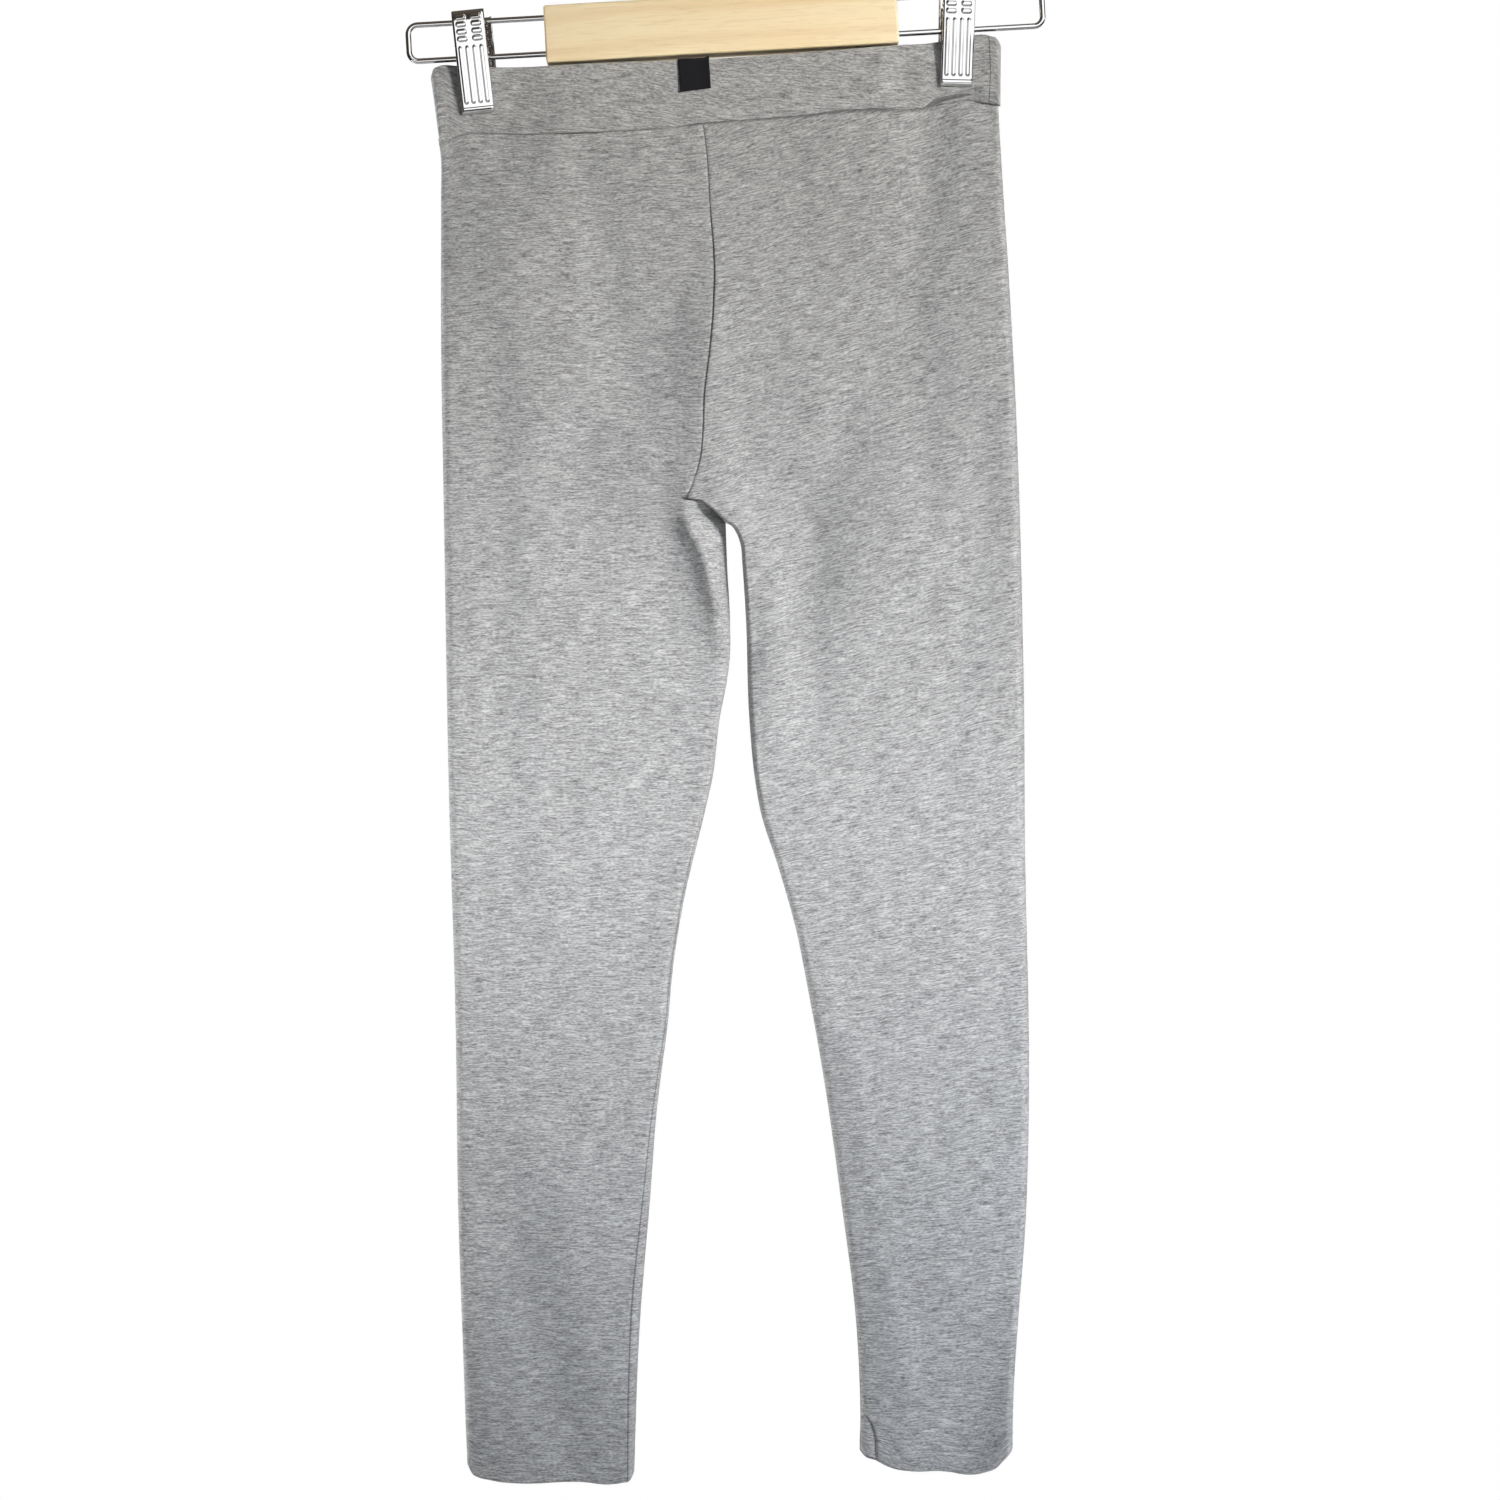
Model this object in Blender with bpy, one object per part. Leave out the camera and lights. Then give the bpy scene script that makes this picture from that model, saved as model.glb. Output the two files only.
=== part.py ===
"""Jersey leggings hanging from a clip hanger: two legs, a waistband, a label and the hanger.

The origin is the inner top of the hanger's hook. +Z is up, the front of the garment faces -Y, and the
wearer's right leg is on the -X side. Sizes are in millimetres up to the point where a mesh is made.
"""

import math

import bmesh
import bpy
import numpy as np
from mathutils import Matrix, Vector

MM = 0.001

# Cloth
PANEL_WALL = 1.4
HEM_WALL = 2.4
BAND_WALL = 2.2
LABEL_WALL = 0.7
SEAM_GAP = 0.3
CLOTH_SHARP_ANGLE = 80.0

# Hanger, in its own frame: along the block, and down from the hook
HANGER_TILT = math.radians(2.06)
BLOCK_LENGTH = 187.0
BLOCK_HEIGHT = 30.1
BLOCK_THICKNESS = 18.0
BLOCK_EDGE = 1.2
BLOCK_MIDDLE_DOWN = 77.95
WIRE_RADIUS = 1.5
WIRE_REACH = {"right": 166.2, "left": 170.7}
WIRE_DOWN = (68.0, 87.2)
WIRE_CORNER = 5.0
HOOK_WIRE_RADIUS = 1.8
HOOK_RADIUS = 19.0
HOOK_TIP_ANGLE = 200.0
HOOK_NECK_ANGLE = -60.0

# Clips
CLIP_HALF_WIDTH = 8.4
CLIP_PLATE = 1.0
LIP_DOWN = 116.0
CLIPS = {
    "right": {"lip_along": -131.0, "lean": 2.6, "back_jaw_shift": 2.5},
    "left": {"lip_along": 122.6, "lean": -4.6, "back_jaw_shift": -1.0},
}
JAW_SECTIONS = (
    # up from the lip, distance of the plate from the cloth's middle, flange depth
    (0.0, 3.8, 0.3),
    (1.3, 4.4, 0.5),
    (5.0, 5.5, 0.9),
    (16.0, 8.2, 1.6),
    (27.0, 10.9, 2.0),
    (28.2, 11.1, 6.6),
    (31.6, 11.5, 7.0),
    (33.6, 11.7, 3.0),
    (44.4, 12.9, 1.6),
    (50.6, 12.8, 1.2),
    (52.2, 11.4, 0.4),
)
JAW_CORNER = 1.2
SPRING_RADII = (2.0, 3.4)
SPRING_LENGTH = 13.6
SPRING_SIDES = 12

# Outlines of the legs: how far down, and where the edge is across
RIGHT_OUTER = (
    # down, across
    (124.0, -149.0),
    (138.0, -147.6),
    (165.0, -147.9),
    (240.0, -149.4),
    (340.0, -149.9),
    (480.0, -150.3),
    (610.0, -149.3),
    (700.0, -150.0),
    (790.0, -148.8),
    (848.0, -148.0),
)
RIGHT_INNER = (
    # down, across
    (341.4, -0.4),
    (363.0, -0.1),
    (393.0, 0.8),
    (412.0, 0.4),
    (425.0, -1.4),
    (444.0, -5.5),
    (478.0, -10.5),
    (494.0, -14.5),
    (541.0, -26.7),
    (573.0, -32.7),
    (605.0, -36.5),
    (652.0, -43.4),
    (700.0, -48.1),
    (764.0, -54.7),
    (811.0, -57.8),
    (848.0, -59.4),
)
LEFT_INNER = (
    # down, across
    (341.4, -0.4),
    (343.0, 2.6),
    (345.5, 4.4),
    (349.0, 6.1),
    (354.0, 7.4),
    (362.0, 7.9),
    (393.0, 9.3),
    (444.0, 9.9),
    (478.0, 12.3),
    (494.0, 14.7),
    (526.0, 24.1),
    (558.0, 32.4),
    (590.0, 38.1),
    (638.0, 45.6),
    (702.0, 53.3),
    (766.0, 59.9),
    (808.0, 61.2),
    (848.0, 60.4),
)
LEFT_OUTER = (
    # down, across
    (118.0, 148.4),
    (152.0, 149.8),
    (216.0, 152.7),
    (311.0, 155.5),
    (364.0, 156.0),
    (439.0, 156.0),
    (518.0, 154.9),
    (633.0, 154.6),
    (678.0, 153.2),
    (720.0, 150.7),
    (768.0, 146.0),
    (815.0, 142.3),
    (848.0, 141.6),
)
LEG_EDGES = {"right": (RIGHT_OUTER, RIGHT_INNER), "left": (LEFT_OUTER, LEFT_INNER)}

# The seam between the legs: the front rise slants over to the crotch, the back rise is straight
FRONT_RISE = (
    # down, across
    (124.0, -9.0),
    (144.0, -6.5),
    (175.0, -5.1),
    (203.0, -3.4),
    (223.0, -4.0),
    (244.0, -5.9),
    (273.0, -9.9),
    (295.0, -11.3),
    (308.0, -12.9),
    (319.0, -16.6),
    (328.0, -20.8),
    (330.0, -13.6),
    (334.0, -8.4),
    (341.4, -0.4),
)
BACK_RISE = ((124.0, 1.5), (230.0, 1.0), (341.4, -0.4))
CROTCH_DOWN = 341.4
CLOSING_DOWN = 235.0
SADDLE_HEIGHT = 15.0
RISE_DIPS = {
    # down, how far the front sinks along the rise and the inner thigh
    "right": ((124.0, 0.3), (230.0, 0.5), (290.0, 2.0), (322.0, 3.4), (341.4, 4.0), (365.0, 2.6), (410.0, 0.0)),
    "left": ((124.0, 0.2), (230.0, 0.5), (290.0, 2.2), (322.0, 2.6), (341.4, 1.8), (400.0, 1.2), (470.0, 0.0)),
}
SEAM_ROLL = 15.0  # how far that dip reaches into each leg
FOLD_LIMIT = 5.4  # no fold sinks the cloth more than this

# Half the depth of the hanging cloth, front to back
HALF_DEPTH = (
    # down, half depth
    (90.0, 6.2),
    (130.0, 7.0),
    (170.0, 8.2),
    (230.0, 9.0),
    (341.0, 9.0),
    (450.0, 8.6),
    (620.0, 8.0),
    (760.0, 7.4),
    (848.0, 7.2),
)
SIDE_ROUNDING = 1.9  # how far in a folded side rounds off, for each unit of half depth
SHEET_BOW = 0.12  # share of the depth lost from the middle of a leg to its folded edges
PANEL_STEP = 0.7  # the panels start this far inside the band's face
PANEL_STEP_FADE = 50.0

# The clips press the cloth together, most at the lip of the jaws
PINCHED_HALF_DEPTH = 2.6
PINCH_OPENING = 0.12  # half depth gained for each unit above the lip
PINCH_HALF_WIDTH = 13.0
PINCH_FADE = 16.0
PINCH_END_DOWN = 120.0
PINCH_REACH = 34.0

# The waistband's edges in the hanger's frame
BAND_TOP = (
    # along, down
    (-155.5, 96.0),
    (-154.0, 93.0),
    (-151.0, 91.4),
    (-141.0, 91.6),
    (-121.0, 93.5),
    (-60.0, 94.2),
    (-20.0, 94.8),
    (60.0, 93.9),
    (93.0, 93.6),
    (114.0, 93.2),
    (125.0, 91.2),
    (135.0, 89.2),
    (141.5, 89.8),
    (145.5, 92.2),
    (147.6, 96.0),
)
BAND_BOTTOM = (
    # along, down
    (-152.8, 132.6),
    (-146.0, 129.4),
    (-139.0, 127.4),
    (-125.0, 127.9),
    (-110.0, 129.3),
    (-89.0, 130.4),
    (-29.7, 130.6),
    (-3.5, 129.4),
    (48.0, 128.3),
    (66.2, 127.4),
    (103.4, 127.4),
    (117.9, 125.2),
    (127.0, 124.3),
    (136.0, 126.6),
    (145.6, 128.4),
)
BAND_COLUMNS = 36
BAND_ROWS = (0.0, 0.04, 0.3, 0.62, 1.0)
BAND_TOP_ROUNDING = 0.6

LABEL_ALONG = (-24.0, -7.5)
LABEL_DROP = 16.4
LABEL_TURN_START = 1.5
LABEL_TURN_DEPTH = 0.8
LABEL_COLUMNS = 4
LABEL_ROWS = 4

# Hem: the lower edge rises toward the side folds and waves a little between them
HEM_DOWN = 832.0
HEM_BLEND = 34.0
HEM_BOTTOM = {"right": 849.0, "left": 848.0}
HEM_RISE = {
    # share across from the inner fold, how far up from the lowest place
    "right": ((0.0, 5.0), (0.02, 1.8), (0.06, 0.8), (0.13, 0.0), (0.3, 1.3), (0.7, 1.6), (0.8, 2.3), (0.87, 3.4),
              (0.94, 4.8), (0.97, 6.3), (1.0, 11.0)),
    "left": ((0.0, 13.0), (0.03, 10.4), (0.07, 9.2), (0.106, 8.2), (0.16, 5.9), (0.21, 4.3), (0.33, 2.5), (0.52, 2.1),
             (0.59, 1.5), (0.66, 0.3), (0.76, 0.1), (0.81, 1.1), (0.85, 2.1), (0.89, 3.6), (0.93, 6.8), (0.98, 10.9),
             (1.0, 12.5)),
}  # fmt: skip

# The largest folds, soft troughs sunk into the cloth (a ridge has a negative depth)
FRONT_FOLDS = {
    "right": (
        # from across, down, to across, down, half width, depth
        (-110.0, 150.0, -113.0, 330.0, 13.0, 1.4),
        (-113.0, 330.0, -118.0, 550.0, 13.0, 1.3),
        (-70.0, 140.0, -46.0, 238.0, 8.0, 1.3),
        (-28.0, 240.0, -29.0, 315.0, 10.0, 1.6),
        (-72.0, 308.0, -36.0, 375.0, 11.0, 1.8),
        (-12.0, 338.0, -5.0, 396.0, 9.0, 3.6),
        (-24.0, 338.0, -11.0, 400.0, 5.5, 2.4),
        (-103.0, 665.0, -104.0, 765.0, 11.0, 1.2),
        (-92.0, 800.0, -70.0, 812.0, 11.0, 1.8),
        (-129.0, 778.0, -115.0, 815.0, 8.0, 1.1),
    ),
    "left": (
        (67.0, 315.0, 57.0, 384.0, 12.0, 2.0),
        (57.0, 384.0, 55.0, 460.0, 12.0, 1.8),
        (118.0, 138.0, 115.0, 285.0, 9.0, 1.3),
        (139.0, 285.0, 138.0, 362.0, 9.0, 1.2),
        (121.0, 435.0, 134.0, 505.0, 10.0, 1.3),
        (12.0, 358.0, 20.0, 416.0, 6.0, 1.8),
        (62.0, 805.0, 76.0, 832.0, 7.0, 1.2),
        (86.0, 785.0, 97.0, 806.0, 8.0, 0.9),
    ),
}
BACK_FOLDS = {
    "right": (
        (-118.0, 150.0, -120.0, 310.0, 12.0, 1.4),
        (-20.0, 303.0, -62.0, 233.0, 12.0, 1.6),
        (-20.0, 350.0, -59.0, 404.0, 12.0, 1.8),
        (-92.0, 515.0, -97.0, 632.0, 14.0, 1.2),
        (-120.0, 788.0, -99.0, 822.0, 9.0, 1.3),
    ),
    "left": (
        (112.0, 142.0, 110.0, 296.0, 12.0, 1.4),
        (18.0, 308.0, 63.0, 247.0, 12.0, 1.6),
        (25.0, 352.0, 71.0, 413.0, 12.0, 1.8),
        (96.0, 553.0, 101.0, 667.0, 13.0, 1.2),
        (121.0, 778.0, 99.0, 818.0, 9.0, 1.3),
    ),
}

# Rows of the leg panels, from the waistband down
OPEN_LEVELS = (
    131.0, 138.0, 148.0, 162.0, 180.0, 202.0, 226.0, 250.0, 273.0, 294.0,
    309.0, 319.0, 327.0, 330.5, 334.0, 337.0, 339.5, 340.9,
)  # fmt: skip
CLOSED_LEVELS = (
    341.4, 343.0, 345.5, 349.0, 354.0, 362.0, 373.0, 387.0, 403.0, 420.0, 438.0, 458.0,
    480.0, 507.0, 538.0, 574.0, 612.0, 655.0, 700.0, 745.0, 785.0, 813.0, 829.0,
)  # fmt: skip
TOP_BLEND = 60.0
PANEL_COLUMNS = 15

COLOURS = {
    # name: colour, roughness, metallic
    "heather jersey": ((0.37, 0.375, 0.385), 0.95, 0.0),
    "black woven label": ((0.012, 0.012, 0.014), 0.8, 0.0),
    "pale pine": ((0.80, 0.62, 0.38), 0.5, 0.0),
    "chrome": ((0.78, 0.78, 0.80), 0.15, 1.0),
}

TILT_COS = math.cos(HANGER_TILT)
TILT_SIN = math.sin(HANGER_TILT)


def clear_scene():
    for obj in list(bpy.data.objects):
        bpy.data.objects.remove(obj, do_unlink=True)


def material(name):
    made = bpy.data.materials.get(name)
    if made is None:
        made = bpy.data.materials.new(name)
        made.use_nodes = True
        colour, roughness, metallic = COLOURS[name]
        shader = made.node_tree.nodes["Principled BSDF"]
        shader.inputs["Base Color"].default_value = (*colour, 1.0)
        shader.inputs["Roughness"].default_value = roughness
        shader.inputs["Metallic"].default_value = metallic
    return made


def add_object(name, data, material_name):
    obj = bpy.data.objects.new(name, data)
    bpy.context.scene.collection.objects.link(obj)
    if not data.materials:
        data.materials.append(material(material_name))
    return obj


def smooth_at(table, at):
    """The value of a two-column table at a place, on a smooth curve through its rows."""
    places, values = np.array(table).T
    slopes = np.gradient(values, places)
    k = int(np.clip(np.searchsorted(places, at) - 1, 0, len(places) - 2))
    length = places[k + 1] - places[k]
    s = min(max((at - places[k]) / length, 0.0), 1.0)
    rise = 3 * s**2 - 2 * s**3
    lean = slopes[k] * (s**3 - 2 * s**2 + s) + slopes[k + 1] * (s**3 - s**2)
    return values[k] + rise * (values[k + 1] - values[k]) + length * lean


def straight_at(table, at):
    """The value of a two-column table at a place, on straight lines between its rows."""
    places, values = np.array(table).T
    return float(np.interp(at, places, values))


def soft_step(value):
    s = min(max(value, 0.0), 1.0)
    return s * s * (3 - 2 * s)


def rounded(share):
    """Height of a quarter-round edge, from 0 at the edge to 1 at a share of 1."""
    s = min(max(share, 0.0), 1.0)
    return math.sqrt(1 - (1 - s) ** 2)


def to_hanger(across, down):
    return across * TILT_COS - down * TILT_SIN, across * TILT_SIN + down * TILT_COS


def from_hanger(along, down):
    return along * TILT_COS + down * TILT_SIN, down * TILT_COS - along * TILT_SIN


def point(across, depth, down):
    return Vector((across, depth, -down)) * MM


def half_depth(across, down):
    """Half the depth of the cloth, narrowed under the clips, at a place in the garment's frame."""
    along, below_hook = to_hanger(across, down)
    base = smooth_at(HALF_DEPTH, down)
    pinched = PINCHED_HALF_DEPTH + PINCH_OPENING * max(0.0, LIP_DOWN - below_hook)
    hold = math.exp(-((max(0.0, below_hook - PINCH_END_DOWN) / PINCH_REACH) ** 2))
    share = 0.0
    for clip in CLIPS.values():
        off = abs(along - clip["lip_along"]) - PINCH_HALF_WIDTH
        share += 1 - soft_step(off / PINCH_FADE)
    return base - share * hold * max(0.0, base - pinched)


def fold_depth(folds, across, down):
    """How far the folds sink the cloth here: each one fades with the distance from its line."""
    total = 0.0
    for from_across, from_down, to_across, to_down, half_width, depth in folds:
        line = np.array((to_across - from_across, to_down - from_down))
        offset = np.array((across - from_across, down - from_down))
        share = np.clip(offset @ line / (line @ line), 0, 1)
        distance = np.linalg.norm(offset - share * line)
        total += depth * math.exp(-((distance / half_width) ** 2))
    return total


def band_line(table, across):
    """How far down an edge of the waistband is, at a place across in the garment's frame."""
    edge = [from_hanger(along, down) for along, down in table]
    return smooth_at(edge, across)


# Leg panels


def panel_down(side, across, level, share_across):
    """The row's place at this column: the first rows follow the band, the last ones the hem's edge."""
    follow = (1 - min((level - OPEN_LEVELS[0]) / TOP_BLEND, 1)) ** 2
    down = level + follow * (band_line(BAND_BOTTOM, across) + SEAM_GAP - OPEN_LEVELS[0])
    rise = smooth_at(HEM_RISE[side], share_across)
    return down - rise * soft_step((level - HEM_BOTTOM[side] + HEM_BLEND) / HEM_BLEND)


def leg_closing(level):
    """How much of a tube of its own the leg is: 0 at the hips, 1 from the crotch down."""
    return soft_step((level - CLOSING_DOWN) / (CROTCH_DOWN - CLOSING_DOWN))


def panel_spread(level, n):
    """Shares across the leg, from the seam side to the folded side, closer together at round edges."""
    t = np.linspace(0, 1, n + 1)
    closing = leg_closing(level)
    return (1 - closing) * np.sin(math.pi / 2 * t) + closing * (1 - np.cos(math.pi * t)) / 2


def panel_ring(side, level, wall):
    """Points round one row of a leg: the front from the seam out, then the back to the seam."""
    sign = -1 if side == "right" else 1
    outer_table, inner_table = LEG_EDGES[side]
    rim = rounded((CROTCH_DOWN - level) / SADDLE_HEIGHT)
    outer = smooth_at(outer_table, level) - sign * wall
    step = PANEL_STEP * (1 - soft_step((level - OPEN_LEVELS[0]) / PANEL_STEP_FADE))
    ring = []
    for face, rise, folds in ((-1, FRONT_RISE, FRONT_FOLDS), (1, BACK_RISE, BACK_FOLDS)):
        seam = straight_at(rise, level) if level < CROTCH_DOWN else smooth_at(inner_table, level)
        inner = seam + sign * (SEAM_GAP / 2 + wall * math.sqrt(1 - rim**2))
        width = abs(outer - inner)
        rows = []
        for share in panel_spread(level, PANEL_COLUMNS):
            across = inner + share * (outer - inner)
            down = panel_down(side, across, level, share)
            depth = half_depth(across, down) - step
            rounding = SIDE_ROUNDING * depth
            at_side = rounded((1 - share) * width / rounding)
            at_seam = math.sqrt(1 - (1 - rounded(share * width / rounding) ** 2) * (1 - rim**2))
            dip = smooth_at(RISE_DIPS[side], level) if face < 0 else 0.0
            sunk = fold_depth(folds[side], across, down)
            sunk += dip * math.exp(-((share * width / SEAM_ROLL) ** 2))
            sunk = FOLD_LIMIT * math.tanh(sunk / FOLD_LIMIT)
            bow = 1 - SHEET_BOW * (2 * share - 1) ** 2 * leg_closing(level)
            rows.append(point(across, face * at_side * at_seam * (depth * bow - wall - sunk), down))
        ring += rows if face < 0 else rows[-2::-1]
    return ring


def cloth_shell(outer_rings, inner_rings, first_closed):
    """A wall between two sets of rings. Rings before first_closed end at a seam, the rest close up."""
    bm = bmesh.new()
    layers = []
    for rings in (outer_rings, inner_rings):
        layer = []
        for number, ring in enumerate(rings):
            row = [bm.verts.new(at) for at in (ring if number < first_closed else ring[:-1])]
            layer.append(row if number < first_closed else row + row[:1])
        layers.append(layer)
    for layer in layers:
        for above, below in zip(layer, layer[1:]):
            for k in range(len(above) - 1):
                bm.faces.new((above[k], above[k + 1], below[k + 1], below[k]))
    outer, inner = layers
    for edge in (0, -1):
        for number in range(first_closed):
            bm.faces.new((outer[number][edge], outer[number + 1][edge],
                          inner[number + 1][edge], inner[number][edge]))  # fmt: skip
    for edge in (0, -1):
        for k in range(len(outer[edge]) - 1):
            bm.faces.new((outer[edge][k], outer[edge][k + 1], inner[edge][k + 1], inner[edge][k]))
    bmesh.ops.recalc_face_normals(bm, faces=bm.faces)
    return bm


def to_mesh(bm, name, sharp_angle=40.0):
    mesh = bpy.data.meshes.new(name)
    bm.to_mesh(mesh)
    bm.free()
    mesh.shade_smooth()
    mesh.set_sharp_from_angle(angle=math.radians(sharp_angle))
    return mesh


def leg(side):
    levels = OPEN_LEVELS + CLOSED_LEVELS + (HEM_DOWN, HEM_BOTTOM[side])
    walls = [HEM_WALL if level >= HEM_DOWN else PANEL_WALL for level in levels]
    outer = [panel_ring(side, level, 0.0) for level in levels]
    inner = [panel_ring(side, level, wall) for level, wall in zip(levels, walls)]
    bm = cloth_shell(outer, inner, len(OPEN_LEVELS))
    name = f"{side}_leg"
    add_object(name, to_mesh(bm, name, CLOTH_SHARP_ANGLE), "heather jersey")


# Waistband and label


def band_point(share_along, share_down, face, wall):
    """A point of the waistband: shares run along its flat width and down its height."""
    left = BAND_TOP[0][0] + share_down * (BAND_BOTTOM[0][0] - BAND_TOP[0][0])
    right = BAND_TOP[-1][0] + share_down * (BAND_BOTTOM[-1][0] - BAND_TOP[-1][0])
    along = left + wall + share_along * (right - left - 2 * wall)
    top = smooth_at(BAND_TOP, along)
    bottom = smooth_at(BAND_BOTTOM, along)
    down = top + share_down * (bottom - top)
    across, below = from_hanger(along, down)
    depth = half_depth(across, below)
    from_end = min(along - left - wall, right - wall - along)
    if share_down == 0:
        depth -= BAND_TOP_ROUNDING if wall == 0 else -BAND_TOP_ROUNDING
    return point(across, face * rounded(from_end / (SIDE_ROUNDING * depth)) * (depth - wall), below)


def band_ring(share_down, wall):
    shares = (1 - np.cos(np.linspace(0, math.pi, BAND_COLUMNS + 1))) / 2
    front = [band_point(share, share_down, -1, wall) for share in shares]
    back = [band_point(share, share_down, 1, wall) for share in shares]
    return front + back[-2::-1]


def waistband():
    outer = [band_ring(share, 0.0) for share in BAND_ROWS]
    inner = [band_ring(share, BAND_WALL) for share in BAND_ROWS]
    bm = cloth_shell(outer, inner, 0)
    add_object("waistband", to_mesh(bm, "waistband", CLOTH_SHARP_ANGLE), "heather jersey")


def label():
    """A square tab on the front of the band, made from the band's own face and turned over its top."""
    bm = bmesh.new()
    left, right = BAND_TOP[0][0], BAND_TOP[-1][0]
    layers = []
    for lift in (SEAM_GAP, SEAM_GAP + LABEL_WALL):
        rows = []
        for along in np.linspace(*LABEL_ALONG, LABEL_COLUMNS + 1):
            share_along = (along - left) / (right - left)
            height = smooth_at(BAND_BOTTOM, along) - smooth_at(BAND_TOP, along)
            row = []
            for drop in np.linspace(LABEL_DROP, LABEL_TURN_START, LABEL_ROWS):
                at = band_point(share_along, drop / height, -1, 0.0)
                row.append(at + Vector((0, -lift, 0)) * MM)
            top = band_point(share_along, 0.0, -1, 0.0)
            row.append(top + Vector((0, -lift, lift)) * MM * math.sqrt(0.5))
            row.append(top + Vector((0, LABEL_TURN_DEPTH, lift)) * MM)
            rows.append([bm.verts.new(at) for at in row])
        layers.append(rows)
    for rows in layers:
        for one, two in zip(rows, rows[1:]):
            for k in range(len(one) - 1):
                bm.faces.new((one[k], one[k + 1], two[k + 1], two[k]))
    under, over = layers
    for edge in (0, -1):
        for k in range(len(under[edge]) - 1):
            bm.faces.new((under[edge][k], under[edge][k + 1], over[edge][k + 1], over[edge][k]))
        for k in range(len(under) - 1):
            bm.faces.new((under[k][edge], under[k + 1][edge], over[k + 1][edge], over[k][edge]))
    bmesh.ops.recalc_face_normals(bm, faces=bm.faces)
    add_object("label", to_mesh(bm, "label"), "black woven label")


# Hanger


def hanger_frame():
    """An empty at the hook that carries the hanger: its -Z runs down the hanger."""
    frame = bpy.data.objects.new("hanger_frame", None)
    bpy.context.scene.collection.objects.link(frame)
    frame.rotation_euler = (0, -HANGER_TILT, 0)
    return frame


def hanger_block(frame):
    bm = bmesh.new()
    bmesh.ops.create_cube(bm, size=1.0)
    size = Vector((BLOCK_LENGTH, BLOCK_THICKNESS, BLOCK_HEIGHT)) * MM
    bmesh.ops.scale(bm, vec=size, verts=bm.verts)
    block = add_object("hanger_block", to_mesh(bm, "hanger_block"), "pale pine")
    bevel = block.modifiers.new("soft edges", "BEVEL")
    bevel.width = BLOCK_EDGE * MM
    bevel.segments = 2
    block.location.z = -BLOCK_MIDDLE_DOWN * MM
    block.parent = frame


def wire(name, path, radius, frame):
    """A round wire through a path of points along and down from the hook, in the plane of the hanger."""
    curve = bpy.data.curves.new(name, "CURVE")
    curve.dimensions = "3D"
    curve.bevel_depth = radius * MM
    curve.bevel_resolution = 2
    curve.use_fill_caps = True
    spline = curve.splines.new("POLY")
    spline.points.add(len(path) - 1)
    for spot, (along, down) in zip(spline.points, path):
        spot.co = (along * MM, 0, -down * MM, 1)
    obj = add_object(name, curve, "chrome")
    obj.parent = frame


def arc(middle_along, middle_down, radius, start, end, steps):
    """Points on an arc; angles in degrees, anticlockwise from the +X side as seen from the front."""
    angles = np.radians(np.linspace(start, end, steps + 1))
    return [(middle_along + radius * math.cos(a), middle_down - radius * math.sin(a)) for a in angles]


def wire_loop(side, frame):
    sign = -1 if side == "right" else 1
    upper, lower = WIRE_DOWN
    start = BLOCK_LENGTH / 2 + SEAM_GAP
    turn = WIRE_REACH[side] - WIRE_CORNER
    path = [(start, upper)]
    path += arc(turn, upper + WIRE_CORNER, WIRE_CORNER, 90, 0, 5)
    path += arc(turn, lower - WIRE_CORNER, WIRE_CORNER, 0, -90, 5)
    path += [(start, lower)]
    path = [(sign * along, down) for along, down in path]
    wire(f"{side}_wire_loop", path, WIRE_RADIUS, frame)


def hook(frame):
    middle_down = HOOK_RADIUS - HOOK_WIRE_RADIUS
    neck = math.radians(HOOK_NECK_ANGLE)
    neck_radius = HOOK_RADIUS * math.cos(neck) / (1 - math.cos(neck))
    neck_middle_down = middle_down - (HOOK_RADIUS + neck_radius) * math.sin(neck)
    path = arc(0, middle_down, HOOK_RADIUS, HOOK_TIP_ANGLE, HOOK_NECK_ANGLE, 24)
    path += arc(neck_radius, neck_middle_down, neck_radius, 180 + HOOK_NECK_ANGLE, 180, 6)[1:]
    path += [(0, BLOCK_MIDDLE_DOWN - BLOCK_HEIGHT / 2 - SEAM_GAP)]
    wire("hanger_hook", path, HOOK_WIRE_RADIUS, frame)


def jaw_mesh():
    """A stamped plate with its sides turned in, as channel sections up from the lip."""
    bm = bmesh.new()
    half, plate, corner = CLIP_HALF_WIDTH, CLIP_PLATE, JAW_CORNER
    loops = []
    for up, away, flange in JAW_SECTIONS:
        face, back = away + plate / 2, away - plate / 2
        tip = back - flange
        outside = [(-half, tip), (-half, face - corner), (-half + corner, face)]
        inside = [(half - plate, tip), (half - plate, back), (plate - half, back), (plate - half, tip)]
        section = outside + [(-x, y) for x, y in reversed(outside)] + inside
        loops.append([bm.verts.new(Vector((x, -y, up)) * MM) for x, y in section])
    for below, above in zip(loops, loops[1:]):
        for k in range(len(below)):
            m = (k + 1) % len(below)
            bm.faces.new((below[k], below[m], above[m], above[k]))
    bm.faces.new(loops[0])
    bm.faces.new(loops[-1])
    bmesh.ops.recalc_face_normals(bm, faces=bm.faces)
    return to_mesh(bm, "jaw")


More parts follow.
